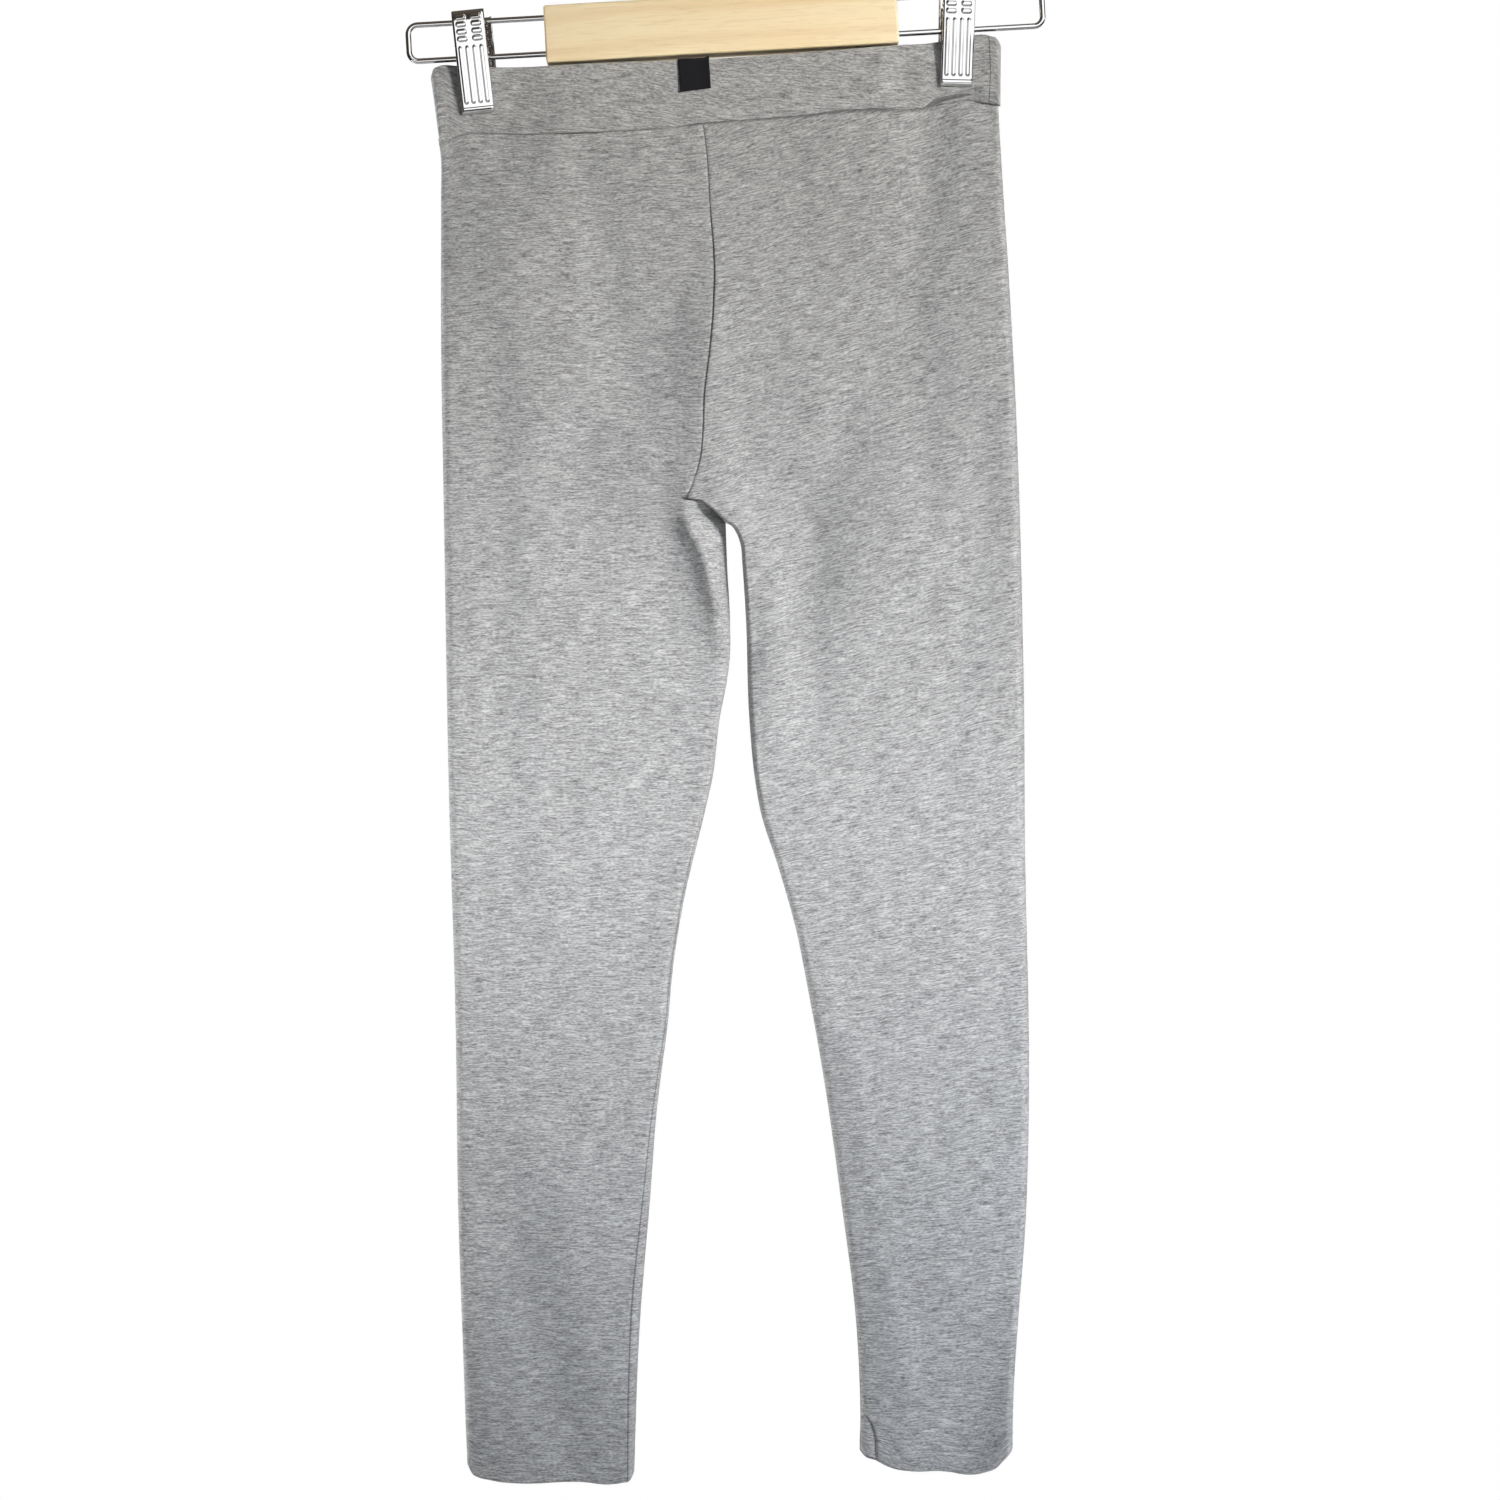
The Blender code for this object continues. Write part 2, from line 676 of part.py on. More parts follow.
def spring_mesh():
    """The rolled sleeve that the jaws turn on, a wall spun about the lower wire."""
    bm = bmesh.new()
    half = SPRING_LENGTH / 2
    bore, outside = SPRING_RADII
    section = ((-half, bore), (half, bore), (half, outside), (-half, outside))
    corners = [bm.verts.new(Vector((x, -radius, 0)) * MM) for x, radius in section]
    edges = [bm.edges.new((one, two)) for one, two in zip(corners, corners[1:] + corners[:1])]
    bmesh.ops.spin(bm, geom=corners + edges, axis=(1, 0, 0), cent=(0, 0, 0), angle=math.tau,
                   steps=SPRING_SIDES, use_merge=True)  # fmt: skip
    bmesh.ops.recalc_face_normals(bm, faces=bm.faces)
    return to_mesh(bm, "spring")


def clip(side, jaw_data, spring_data, frame):
    spec = CLIPS[side]
    lean = math.radians(spec["lean"])
    for face, name in ((0, "front"), (1, "back")):
        jaw = add_object(f"{side}_clip_{name}_jaw", jaw_data, "chrome")
        along = spec["lip_along"] + face * spec["back_jaw_shift"]
        turned = Matrix.Rotation(-lean, 4, "Y") @ Matrix.Rotation(math.pi * face, 4, "Z")
        jaw.matrix_local = Matrix.Translation(Vector((along, 0, -LIP_DOWN)) * MM) @ turned
        jaw.parent = frame
    lower = WIRE_DOWN[1]
    spring = add_object(f"{side}_clip_spring", spring_data, "chrome")
    along = spec["lip_along"] - math.tan(lean) * (LIP_DOWN - lower)
    spring.location = Vector((along, 0, -lower)) * MM
    spring.parent = frame


def main():
    clear_scene()
    for side in ("right", "left"):
        leg(side)
    waistband()
    label()
    frame = hanger_frame()
    hanger_block(frame)
    hook(frame)
    jaw_data = jaw_mesh()
    spring_data = spring_mesh()
    for side in ("right", "left"):
        wire_loop(side, frame)
        clip(side, jaw_data, spring_data, frame)


main()
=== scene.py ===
import math

import bmesh
import bpy
import numpy as np
from mathutils import Matrix, Vector


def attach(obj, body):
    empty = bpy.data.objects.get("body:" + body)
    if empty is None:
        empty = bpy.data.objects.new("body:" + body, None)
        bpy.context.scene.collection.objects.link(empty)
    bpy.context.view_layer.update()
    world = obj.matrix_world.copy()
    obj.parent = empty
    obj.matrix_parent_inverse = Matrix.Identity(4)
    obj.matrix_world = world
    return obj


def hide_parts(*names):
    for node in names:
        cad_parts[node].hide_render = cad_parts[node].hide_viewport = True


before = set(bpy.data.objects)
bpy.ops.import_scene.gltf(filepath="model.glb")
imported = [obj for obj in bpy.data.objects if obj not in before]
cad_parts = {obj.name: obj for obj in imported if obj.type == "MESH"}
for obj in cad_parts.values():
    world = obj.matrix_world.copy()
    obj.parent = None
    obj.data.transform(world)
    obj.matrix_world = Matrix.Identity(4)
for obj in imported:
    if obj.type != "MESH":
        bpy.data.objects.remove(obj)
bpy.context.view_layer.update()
scene = bpy.context.scene
mm = 0.001
print("frame loaded:", ", ".join(sorted(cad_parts)))

# sizes below are in millimetres: across is +X, down is -Z from the inner top of the hook


# ---- small tools


def curveAt(table, at):  # a smooth curve through the rows of a two-column table
    places, values = np.array(table, float).T
    slopes = np.gradient(values, places)
    k = np.clip(np.searchsorted(places, at) - 1, 0, len(places) - 2)
    length = places[k + 1] - places[k]
    s = np.clip((at - places[k]) / length, 0, 1)
    rise = 3 * s**2 - 2 * s**3
    lean = slopes[k] * (s**3 - 2 * s**2 + s) + slopes[k + 1] * (s**3 - s**2)
    return values[k] + rise * (values[k + 1] - values[k]) + length * lean


def lineAt(table, at):
    places, values = np.array(table, float).T
    return np.interp(at, places, values)


def softStep(value):
    s = np.clip(value, 0, 1)
    return s * s * (3 - 2 * s)


def quarterRound(share):  # height of a round edge, 0 at the edge and 1 from a share of 1 on
    s = np.clip(share, 0, 1)
    return np.sqrt(1 - (1 - s) ** 2)


def bump(distance, halfWidth):
    return np.exp(-((distance / halfWidth) ** 2))


def nearLine(points, across, down):
    # distance to a line of points, and how far along it the nearest place is
    nearest = np.full(np.shape(across), 1e9)
    place = np.zeros(np.shape(across))
    side = np.zeros(np.shape(across))
    walked = 0.0
    for (x0, d0), (x1, d1) in zip(points, points[1:]):
        run, drop = x1 - x0, d1 - d0
        length = math.hypot(run, drop)
        share = np.clip(((across - x0) * run + (down - d0) * drop) / length**2, 0, 1)
        distance = np.hypot(across - x0 - share * run, down - d0 - share * drop)
        closer = distance < nearest
        nearest = np.where(closer, distance, nearest)
        place = np.where(closer, walked + share * length, place)
        side = np.where(closer, np.sign((across - x0) * drop - (down - d0) * run), side)
        walked += length
    return nearest, place, walked, side


def foldDepth(folds, across, down):
    # each fold: half width, depth (a ridge is negative), length of its fading ends, points along it
    total = np.zeros(np.shape(across))
    for halfWidth, depth, fade, points in folds:
        distance, place, length, _ = nearLine(points, across, down)
        fade = min(fade, length / 2.2)
        ends = softStep(place / fade) * softStep((length - place) / fade)
        total += depth * bump(distance, halfWidth) * ends
    return total


def creaseDepth(creases, across, down):
    # a lip of cloth over the cloth beside it: half width, width of the slope, depth, fading ends, points with the
    # low side on their left
    total = np.zeros(np.shape(across))
    for halfWidth, slope, depth, fade, points in creases:
        distance, place, length, side = nearLine(points, across, down)
        ends = softStep(place / fade) * softStep((length - place) / fade)
        low = np.where(side > 0, softStep(distance / slope) * np.exp(-distance / halfWidth), 0.0)
        total += depth * low * ends
    return total


def ripple(across, down, size, height, turn):  # a faint unevenness, never quite repeating
    total = 0.0
    for k, share in enumerate((1.0, 0.72, 0.53, 0.37)):
        angle = turn + 1.9 * k
        place = (across * math.cos(angle) + down * math.sin(angle)) / (size * share)
        total = total + share * np.sin(2 * math.pi * place + 2.3 * k + turn)
    return height * total / 2.6


# ---- how the hanger tilts the garment's top

hanger = {
    "tilt": math.radians(2.06),
    "blockSize": (187.0, 18.0, 30.1),
    "blockDown": 77.95,
    "blockEdge": 1.3,
    "wireRadius": 1.5,
    "wireReach": {"right": 166.2, "left": 170.7},
    "wireDown": (68.0, 87.2),
    "wireCorner": 5.0,
    "hookWireRadius": 1.8,
    "hookRadius": 19.0,
    "hookTipAngle": 200.0,
    "hookNeckAngle": -60.0,
    "lipDown": 117.3,
    "clips": {
        "right": {"lipAlong": -131.0, "lean": 2.6, "backShift": 2.5},
        "left": {"lipAlong": 122.6, "lean": -4.6, "backShift": -1.0},
    },
}


def toHanger(across, down):
    c, s = math.cos(hanger["tilt"]), math.sin(hanger["tilt"])
    return across * c - down * s, across * s + down * c


def fromHanger(along, down):
    c, s = math.cos(hanger["tilt"]), math.sin(hanger["tilt"])
    return along * c + down * s, down * c - along * s


# ---- materials


def fill(tree, node, values):  # each socket gets another node's output, or a plain value
    for socket, value in values:
        if isinstance(value, bpy.types.NodeSocket):
            tree.links.new(value, node.inputs[socket])
        else:
            node.inputs[socket].default_value = value


def nodeIn(tree, kind, values=(), **settings):
    count = len(tree.nodes)
    node = tree.nodes.new(kind)
    node.location = (220 * (count % 12) - 2800, 1200 - 280 * (count // 12))
    for key, value in settings.items():
        setattr(node, key, value)
    fill(tree, node, values)
    return node


def newGroup(name, inputs, outputs):
    tree = bpy.data.node_groups.new(name, "ShaderNodeTree")
    for label, kind, value in inputs:
        socket = tree.interface.new_socket(label, in_out="INPUT", socket_type="NodeSocket" + kind)
        if value is not None:
            socket.default_value = value
    for label, kind in outputs:
        tree.interface.new_socket(label, in_out="OUTPUT", socket_type="NodeSocket" + kind)
    return tree, nodeIn(tree, "NodeGroupInput").outputs, nodeIn(tree, "NodeGroupOutput")


def newMaterial(name):
    made = bpy.data.materials.new(name)
    made.use_nodes = True
    return made, made.node_tree, made.node_tree.nodes["Principled BSDF"]


def calc(tree, operation, *values):
    return nodeIn(tree, "ShaderNodeMath", enumerate(values), operation=operation).outputs[0]


def vectorCalc(tree, operation, *values):
    return nodeIn(tree, "ShaderNodeVectorMath", enumerate(values), operation=operation).outputs[0]


def split(tree, vector):
    return nodeIn(tree, "ShaderNodeSeparateXYZ", ((0, vector),)).outputs


def noise(tree, vector, stretch, detail, scale=1.0, dims="2D"):
    if stretch:
        vector = vectorCalc(tree, "MULTIPLY", vector, stretch)
    values = (("Vector", vector), ("Scale", scale), ("Detail", detail))
    return nodeIn(tree, "ShaderNodeTexNoise", values, noise_dimensions=dims).outputs["Fac"]


def mixColour(tree, share, one, two):
    return nodeIn(tree, "ShaderNodeMix", ((0, share), (6, one), (7, two)), data_type="RGBA").outputs[2]


def mapped(tree, value, low, high, toLow=0.0, toHigh=1.0):
    return nodeIn(tree, "ShaderNodeMapRange", enumerate((value, low, high, toLow, toHigh))).outputs["Result"]


def relief(tree, shader, height, strength, distance):
    values = (("Height", height), ("Strength", strength), ("Distance", distance))
    fill(tree, shader, (("Normal", nodeIn(tree, "ShaderNodeBump", values).outputs[0]),))


def heatherGroup():
    # dark, mid and pale fibres drawn out along the courses, on a fine jersey stitch
    inputs = (("Weave", "Vector", None), ("Dark", "Color", (0.2, 0.2, 0.2, 1)), ("Mid", "Color", (0.3, 0.3, 0.3, 1)),
              ("Pale", "Color", (0.5, 0.5, 0.5, 1)), ("Streaks", "Float", 1.0))  # fmt: skip
    tree, given, leave = newGroup("heather knit", inputs, (("Color", "Color"), ("Height", "Float")))
    weave, dark, pale = given["Weave"], given["Dark"], given["Pale"]
    values = (("Vector", weave), ("Scale", 0.45), ("Detail", 1.0))
    drift = nodeIn(tree, "ShaderNodeTexNoise", values, noise_dimensions="2D")
    centred = vectorCalc(tree, "SUBTRACT", drift.outputs["Color"], (0.5, 0.5, 0.5))
    waved = vectorCalc(tree, "MULTIPLY_ADD", centred, (0.5, 0.35, 0), weave)
    total = 0.0
    for stretch, detail, weight in (((1.3, 13.0, 1), 1.0, 1.1), ((5.0, 15.0, 1), 1.0, 1.1), ((0.9, 5.0, 1), 2.0, 0.6),
                                    ((0.5, 1.0, 1), 2.0, 0.3)):  # fmt: skip
        fibres = noise(tree, waved, stretch, detail)
        total = calc(tree, "MULTIPLY_ADD", fibres, weight, calc(tree, "SUBTRACT", total, weight / 2))
    total = calc(tree, "MULTIPLY_ADD", total, given["Streaks"], 0.5)
    ground = mixColour(tree, mapped(tree, total, 0.1, 0.5), dark, given["Mid"])
    ground = mixColour(tree, mapped(tree, total, 0.5, 0.95), ground, pale)
    flecks = noise(tree, waved, (1.5, 15.0, 1), 1.0, 1.3)
    ground = mixColour(tree, mapped(tree, flecks, 0.30, 0.22, 0, 0.55), ground, dark)
    ground = mixColour(tree, mapped(tree, flecks, 0.70, 0.78, 0, 0.5), ground, pale)
    stitch = split(tree, vectorCalc(tree, "MULTIPLY", weave, (11.5 * math.pi, 15.5 * math.pi, 1)))
    wale = calc(tree, "ABSOLUTE", calc(tree, "SINE", stitch[0]))
    slant = calc(tree, "MULTIPLY_ADD", wale, 1.6, stitch[1])
    course = calc(tree, "ABSOLUTE", calc(tree, "SINE", slant))
    loops = calc(tree, "MULTIPLY", calc(tree, "ADD", wale, 0.6), course)
    fill(tree, leave, (("Color", ground), ("Height", calc(tree, "MULTIPLY_ADD", loops, 0.35, total))))
    return tree


def seamShadeGroup():
    # a seam: a narrow groove at distance 0, its bottom darkened in colour by painted shade
    inputs = (("Distances", "Vector", None), ("Groove", "Float", 0.4), ("Color", "Color", None))
    tree, given, leave = newGroup("sewn line and painted shade", inputs, (("Color", "Color"), ("Depth", "Float")))
    parts = split(tree, given["Distances"])
    away = calc(tree, "MINIMUM", calc(tree, "ABSOLUTE", parts[0]), calc(tree, "ABSOLUTE", parts[1]))
    share = calc(tree, "DIVIDE", away, given["Groove"])
    groove = calc(tree, "EXPONENT", calc(tree, "MULTIPLY", calc(tree, "MULTIPLY", share, share), -1.0))
    # painted shade: the colour darkens toward the groove's middle, where a seam would lie in shadow
    shade = mixColour(tree, calc(tree, "MULTIPLY", groove, 0.62), given["Color"], (0.06, 0.06, 0.062, 1))
    fill(tree, leave, (("Color", shade), ("Depth", groove)))
    return tree


jersey = {
    "Dark": (0.15, 0.152, 0.154, 1),
    "Mid": (0.339, 0.343, 0.347, 1),
    "Pale": (0.583, 0.59, 0.596, 1),
    "Streaks": 0.76,
}


def jerseyMaterial(knitGroup, sewnShadeGroup):
    made, tree, shader = newMaterial("heather jersey")
    weave = nodeIn(tree, "ShaderNodeUVMap", uv_map="weave").outputs[0]
    lines = nodeIn(tree, "ShaderNodeUVMap", uv_map="seams").outputs[0]
    knit = nodeIn(tree, "ShaderNodeGroup", (("Weave", weave), *jersey.items()), node_tree=knitGroup).outputs
    # the seams map carries painted shade along the seams and under the waistband's lower edge
    sewn = (("Distances", lines), ("Color", knit["Color"]))
    seam = nodeIn(tree, "ShaderNodeGroup", sewn, node_tree=sewnShadeGroup).outputs
    relief(tree, shader, calc(tree, "MULTIPLY_ADD", seam["Depth"], -3.0, knit["Height"]), 0.5, 0.00022)
    fill(tree, shader, (("Base Color", seam["Color"]), ("Roughness", 0.92), ("Specular IOR Level", 0.25),
                        ("Sheen Weight", 0.25), ("Sheen Roughness", 0.5)))  # fmt: skip
    return made


def labelMaterial():
    made, tree, shader = newMaterial("black woven tape")
    weave = nodeIn(tree, "ShaderNodeUVMap", uv_map="weave").outputs[0]
    parts = split(tree, vectorCalc(tree, "MULTIPLY", weave, (90, 120, 1)))
    grid = calc(tree, "MULTIPLY", calc(tree, "SINE", parts[0]), calc(tree, "SINE", parts[1]))
    height = calc(tree, "MULTIPLY_ADD", noise(tree, weave, (6, 30, 1), 2.0), 0.8, grid)
    colour = mixColour(tree, mapped(tree, height, -0.6, 1.6), (0.006, 0.006, 0.007, 1), (0.022, 0.022, 0.026, 1))
    relief(tree, shader, height, 0.4, 0.0001)
    fill(tree, shader, (("Base Color", colour), ("Roughness", 0.7), ("Specular IOR Level", 0.15)))
    return made


def pineMaterial():
    made, tree, shader = newMaterial("pale pine")
    place = nodeIn(tree, "ShaderNodeTexCoord").outputs["Object"]
    turn = (("Vector", place), ("Rotation", (0, hanger["tilt"], 0)))
    turned = nodeIn(tree, "ShaderNodeMapping", turn).outputs[0]
    # year rings round a heart far behind and below the block, drawn out along it
    wander = noise(tree, turned, (6.0, 60.0, 60.0), 2.0, 0.6, "3D")
    parts = split(tree, turned)
    deep, low = calc(tree, "ADD", parts[1], -0.055), calc(tree, "ADD", parts[2], 0.13)
    squares = calc(tree, "ADD", calc(tree, "MULTIPLY", deep, deep), calc(tree, "MULTIPLY", low, low))
    ringPlace = calc(tree, "MULTIPLY_ADD", wander, 0.016, calc(tree, "SQRT", squares))
    late = mapped(tree, calc(tree, "SINE", calc(tree, "MULTIPLY", ringPlace, 820.0)), 0.1, 1.0)
    pores = noise(tree, turned, (90, 1500, 1500), 3.0, dims="3D")
    tone = noise(tree, turned, (9, 40, 40), 1.0, dims="3D")
    base = mixColour(tree, mapped(tree, tone, 0.3, 0.7), (0.86, 0.695, 0.44, 1), (0.9, 0.77, 0.53, 1))
    base = mixColour(tree, calc(tree, "MULTIPLY", late, 0.25), base, (0.68, 0.45, 0.22, 1))
    base = mixColour(tree, mapped(tree, pores, 0.5, 0.8, 0, 0.4), base, (0.6, 0.42, 0.22, 1))
    relief(tree, shader, pores, 0.25, 0.0001)
    fill(tree, shader, (("Base Color", base), ("Roughness", 0.42), ("Coat Weight", 0.15), ("Coat Roughness", 0.3)))
    return made


def chromeMaterial():
    made, tree, shader = newMaterial("chrome plate")
    place = nodeIn(tree, "ShaderNodeTexCoord").outputs["Object"]
    rough = mapped(tree, noise(tree, place, None, 3.0, 260.0, "3D"), 0.35, 0.75, 0.02, 0.055)
    relief(tree, shader, noise(tree, place, (900, 900, 140), 2.0, dims="3D"), 0.012, 0.0001)
    fill(tree, shader, (("Base Color", (0.80, 0.80, 0.815, 1)), ("Metallic", 1.0), ("Roughness", rough)))
    return made


finishes = {
    "jersey": jerseyMaterial(heatherGroup(), seamShadeGroup()),
    "label": labelMaterial(),
    "pine": pineMaterial(),
    "chrome": chromeMaterial(),
}
print("materials made")


# ---- making pieces


mergeDistance = 1e-6


def addObject(name, data):
    added = bpy.data.objects.new(name, data)
    scene.collection.objects.link(added)
    return added


def cleanUp(bm):
    bmesh.ops.remove_doubles(bm, verts=bm.verts, dist=mergeDistance)
    bmesh.ops.recalc_face_normals(bm, faces=bm.faces)


def walkAlong(points, axis):  # the way walked from the first point to each of the others
    steps = np.linalg.norm(np.diff(points, axis=axis), axis=-1)
    start = np.zeros_like(np.take(steps, [0], axis=axis))
    return np.concatenate((start, np.cumsum(steps, axis=axis)), axis=axis)


def finishPiece(name, bm, slotName, replaced=(), sharpAngle=None):
    mesh = bpy.data.meshes.new(name)
    bm.to_mesh(mesh)
    bm.free()
    mesh.materials.append(finishes[slotName])
    mesh.shade_smooth()
    if sharpAngle is not None:
        mesh.set_sharp_from_angle(angle=math.radians(sharpAngle))
    piece = addObject(name, mesh)
    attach(piece, "root")
    if replaced:
        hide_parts(*replaced)
    return piece


def layGrid(columns, rows, points):  # a grid laid onto points given by row and column
    bm = bmesh.new()
    bmesh.ops.create_grid(bm, x_segments=columns, y_segments=rows, size=0.5)
    bm.verts.index_update()
    places = [(round((vert.co.y + 0.5) * rows), round((vert.co.x + 0.5) * columns)) for vert in bm.verts]
    for vert, place in zip(bm.verts, places):
        vert.co = points[place] * mm
    return bm, places


def clothUvs(bm, weaveOf, seamsOf):  # the cloth's own coordinates, and its distances to two seams
    courses = bm.loops.layers.uv.new("weave")
    lines = bm.loops.layers.uv.new("seams")
    for face in bm.faces:
        for loop in face.loops:
            loop[courses].uv = weaveOf(loop.vert)
            loop[lines].uv = seamsOf(loop.vert)


def clothGrid(columns, rows, points, weave, seams):
    bm, places = layGrid(columns, rows, points)
    weave = weave / 10
    clothUvs(bm, lambda vert: weave[places[vert.index]], lambda vert: seams[places[vert.index]])
    return bm


def inSpace(across, depth, down):
    return np.stack(np.broadcast_arrays(across, depth, -down), axis=-1)


def wallModifier(piece, thickness):
    wall = piece.modifiers.new("cloth thickness", "SOLIDIFY")
    wall.thickness = thickness * mm
    wall.offset = -1
    wall.use_even_offset = False
    wall.use_rim = True


# ---- the cloth's depth and the waistband's edges

body = {
    "halfDepth": ((90, 6.2), (130, 7.0), (170, 8.2), (230, 9.0), (341, 9.0), (450, 8.6), (620, 8.0), (760, 7.4),
                  (848, 7.2)),
    "sideRounding": 0.55,
    "pinchedHalfDepth": 2.6,
    "pinchOpening": 0.12,
    "pinchHalfWidth": 13.0,
    "pinchFade": 34.0,
    "pinchEndDown": 120.0,
    "pinchReach": 34.0,
}

band = {
    "top": ((-155.5, 96.0), (-154, 93), (-151, 91.4), (-141, 91.6), (-121, 93.5), (-60, 94.2), (-20, 94.8),
            (60, 93.9), (93, 93.6), (114, 93.2), (125, 91.2), (135, 89.2), (141.5, 89.8), (145.5, 92.2), (147.6, 96)),
    "bottom": ((-152.8, 132.6), (-146, 129.4), (-139, 127.4), (-125, 127.9), (-110, 129.3), (-89, 130.4),
               (-29.7, 130.6), (-3.5, 129.4), (48, 128.3), (66.2, 127.4), (103.4, 127.4), (117.9, 125.2),
               (127, 124.3), (136, 126.6), (145.6, 128.4)),
    # how far the front's top edge hangs below the back's
    "frontDrop": ((-150, 0.0), (-100, 0.1), (-40, 0.5), (0, 0.9), (60, 0.8), (100, 0.4), (122, 0.8), (132, 2.4),
                  (143, 2.0), (148, 0.4)),
    "cut": (0.62, 0.0714),  # once round the waist, twice the height and the turn over the top
    "wall": 2.2,
    "cloth": 0.85,
    "columns": 560,
    "outerRows": 46,
    "turnRows": 8,
    "innerRows": 14,
    "courseSlant": 0.13,
    "sideSeam": ((144.2, 84.0), (144.9, 105.5), (143.6, 124.0)),
    "creases": (
        # half width, width of the slope, depth, fading ends, points
        (5.0, 0.8, 4.0, 8.0, ((142.0, 112.4), (134.6, 113.8), (117.0, 117.0), (107.9, 123.7), (101.0, 128.4))),
    ),
    "folds": (
        # half width, depth, fading ends, points
        (7.0, 1.7, 25.0, ((-34.0, 133.0), (48.0, 128.5), (75.0, 126.0), (112.0, 124.0))),
        (5.0, 0.9, 12.0, ((90.0, 96.0), (100.0, 112.0), (96.0, 124.0))),
        (5.0, 0.45, 10.0, ((-112.0, 112.0), (-96.0, 122.0), (-80.0, 130.0))),
        (6.0, 0.4, 10.0, ((-146.0, 104.0), (-143.0, 128.0))),
        (4.0, -0.3, 10.0, ((100.0, 121.0), (90.0, 112.0), (70.0, 104.0))),
        (7.0, 0.3, 15.0, ((-60.0, 100.0), (-30.0, 118.0), (10.0, 122.0))),
    ),
}  # fmt: skip
print("waistband sizes read")


def halfDepth(across, down):
    along, belowHook = toHanger(across, down)
    base = curveAt(body["halfDepth"], down)
    pinched = body["pinchedHalfDepth"] + body["pinchOpening"] * np.maximum(0, hanger["lipDown"] - belowHook)
    hold = np.exp(-((np.maximum(0, belowHook - body["pinchEndDown"]) / body["pinchReach"]) ** 2))
    share = 0.0
    for clip in hanger["clips"].values():
        off = np.abs(along - clip["lipAlong"]) - body["pinchHalfWidth"]
        share = share + 1 - softStep(off / body["pinchFade"])
    return base - share * hold * np.maximum(0, base - pinched)


def bandLine(table, across):
    edge = [fromHanger(along, down) for along, down in table]
    return curveAt(edge, across)


def bandSurface(shareAlong, face, shareDown, lower, inset):
    # lower: distance below the top edge that the turn over the top adds
    left = band["top"][0][0] + shareDown * (band["bottom"][0][0] - band["top"][0][0])
    right = band["top"][-1][0] + shareDown * (band["bottom"][-1][0] - band["top"][-1][0])
    along = left + inset + shareAlong * (right - left - 2 * inset)
    top = curveAt(band["top"], along) + np.where(face < 0, curveAt(band["frontDrop"], along), 0.0)
    bottom = curveAt(band["bottom"], along)
    down = top + lower + shareDown * (bottom - top - lower)
    across, below = fromHanger(along, down)
    depth = halfDepth(across, below)
    fromEnd = np.minimum(along - left - inset, right - inset - along)
    front = face < 0
    sunk = ripple(across, below, 64.0, 0.28, 0.4 if np.all(front) else 2.1)
    sunk = sunk + np.where(front, foldDepth(band["folds"], across, below), 0.0)
    sunk = sunk + np.where(front, creaseDepth(band["creases"], across, below), 0.0)
    sunk = sunk * quarterRound(fromEnd / 20.0)
    y = face * quarterRound(fromEnd / (body["sideRounding"] * depth)) * (depth - inset - sunk)
    return inSpace(across, y, below), across, below


def bandPiece():
    # rows run from the inner bottom edge up, over the top in a round turn, and down the outside
    radius = band["wall"] / 2
    inner = [(share, radius, band["wall"]) for share in np.linspace(1, 0.0, band["innerRows"] + 1)]
    bends = np.linspace(0, math.pi, band["turnRows"] + 1)[1:-1]
    turn = [(0.0, radius * (1 - math.sin(a)), radius * (1 + math.cos(a))) for a in bends]
    outer = [(share, radius, 0.0) for share in np.linspace(0.0, 1, band["outerRows"] + 1)]
    tuck = [(1.0, 0.0, 0.25), (1.008, 0.0, 0.8), (1.004, 0.0, 1.5)]
    rows = inner + turn + outer + tuck
    around = np.linspace(0, 1, band["columns"] + 1)
    face = np.where(around <= 0.5, -1.0, 1.0)
    share = (1 - np.cos(2 * math.pi * around)) / 2
    share[0] = share[-1] = 0.0
    shareDown, lower, inset = (np.array(column)[:, None] for column in zip(*rows))
    faces = face[None, :] * np.ones_like(shareDown)
    points, across, below = bandSurface(share[None, :], faces, shareDown, lower, inset)
    walked = walkAlong(points, 1)
    u = walked - walked[:, band["columns"] // 2][:, None]
    v = walkAlong(points, 0)
    weave = np.stack((u + 400, v - band["courseSlant"] * u * np.where(face < 0, 1, 0.6)[None, :]), axis=-1)
    # distance to the side seam, along which the material paints a line of shade
    seamAway, _, _, side = nearLine(band["sideSeam"], across, below)
    seam = np.where(face[None, :] < 0, 1.5 * seamAway * side, 30.0)
    seams = np.stack((seam, np.full_like(seam, 30.0)), axis=-1)
    bm = clothGrid(band["columns"], len(rows) - 1, points, weave, seams)
    cleanUp(bm)
    piece = finishPiece("waistbandCloth", bm, "jersey", ["waistband"])
    wallModifier(piece, band["cloth"])
    return piece


waistband = bandPiece()
print("waistband cloth made")


# ---- the legs

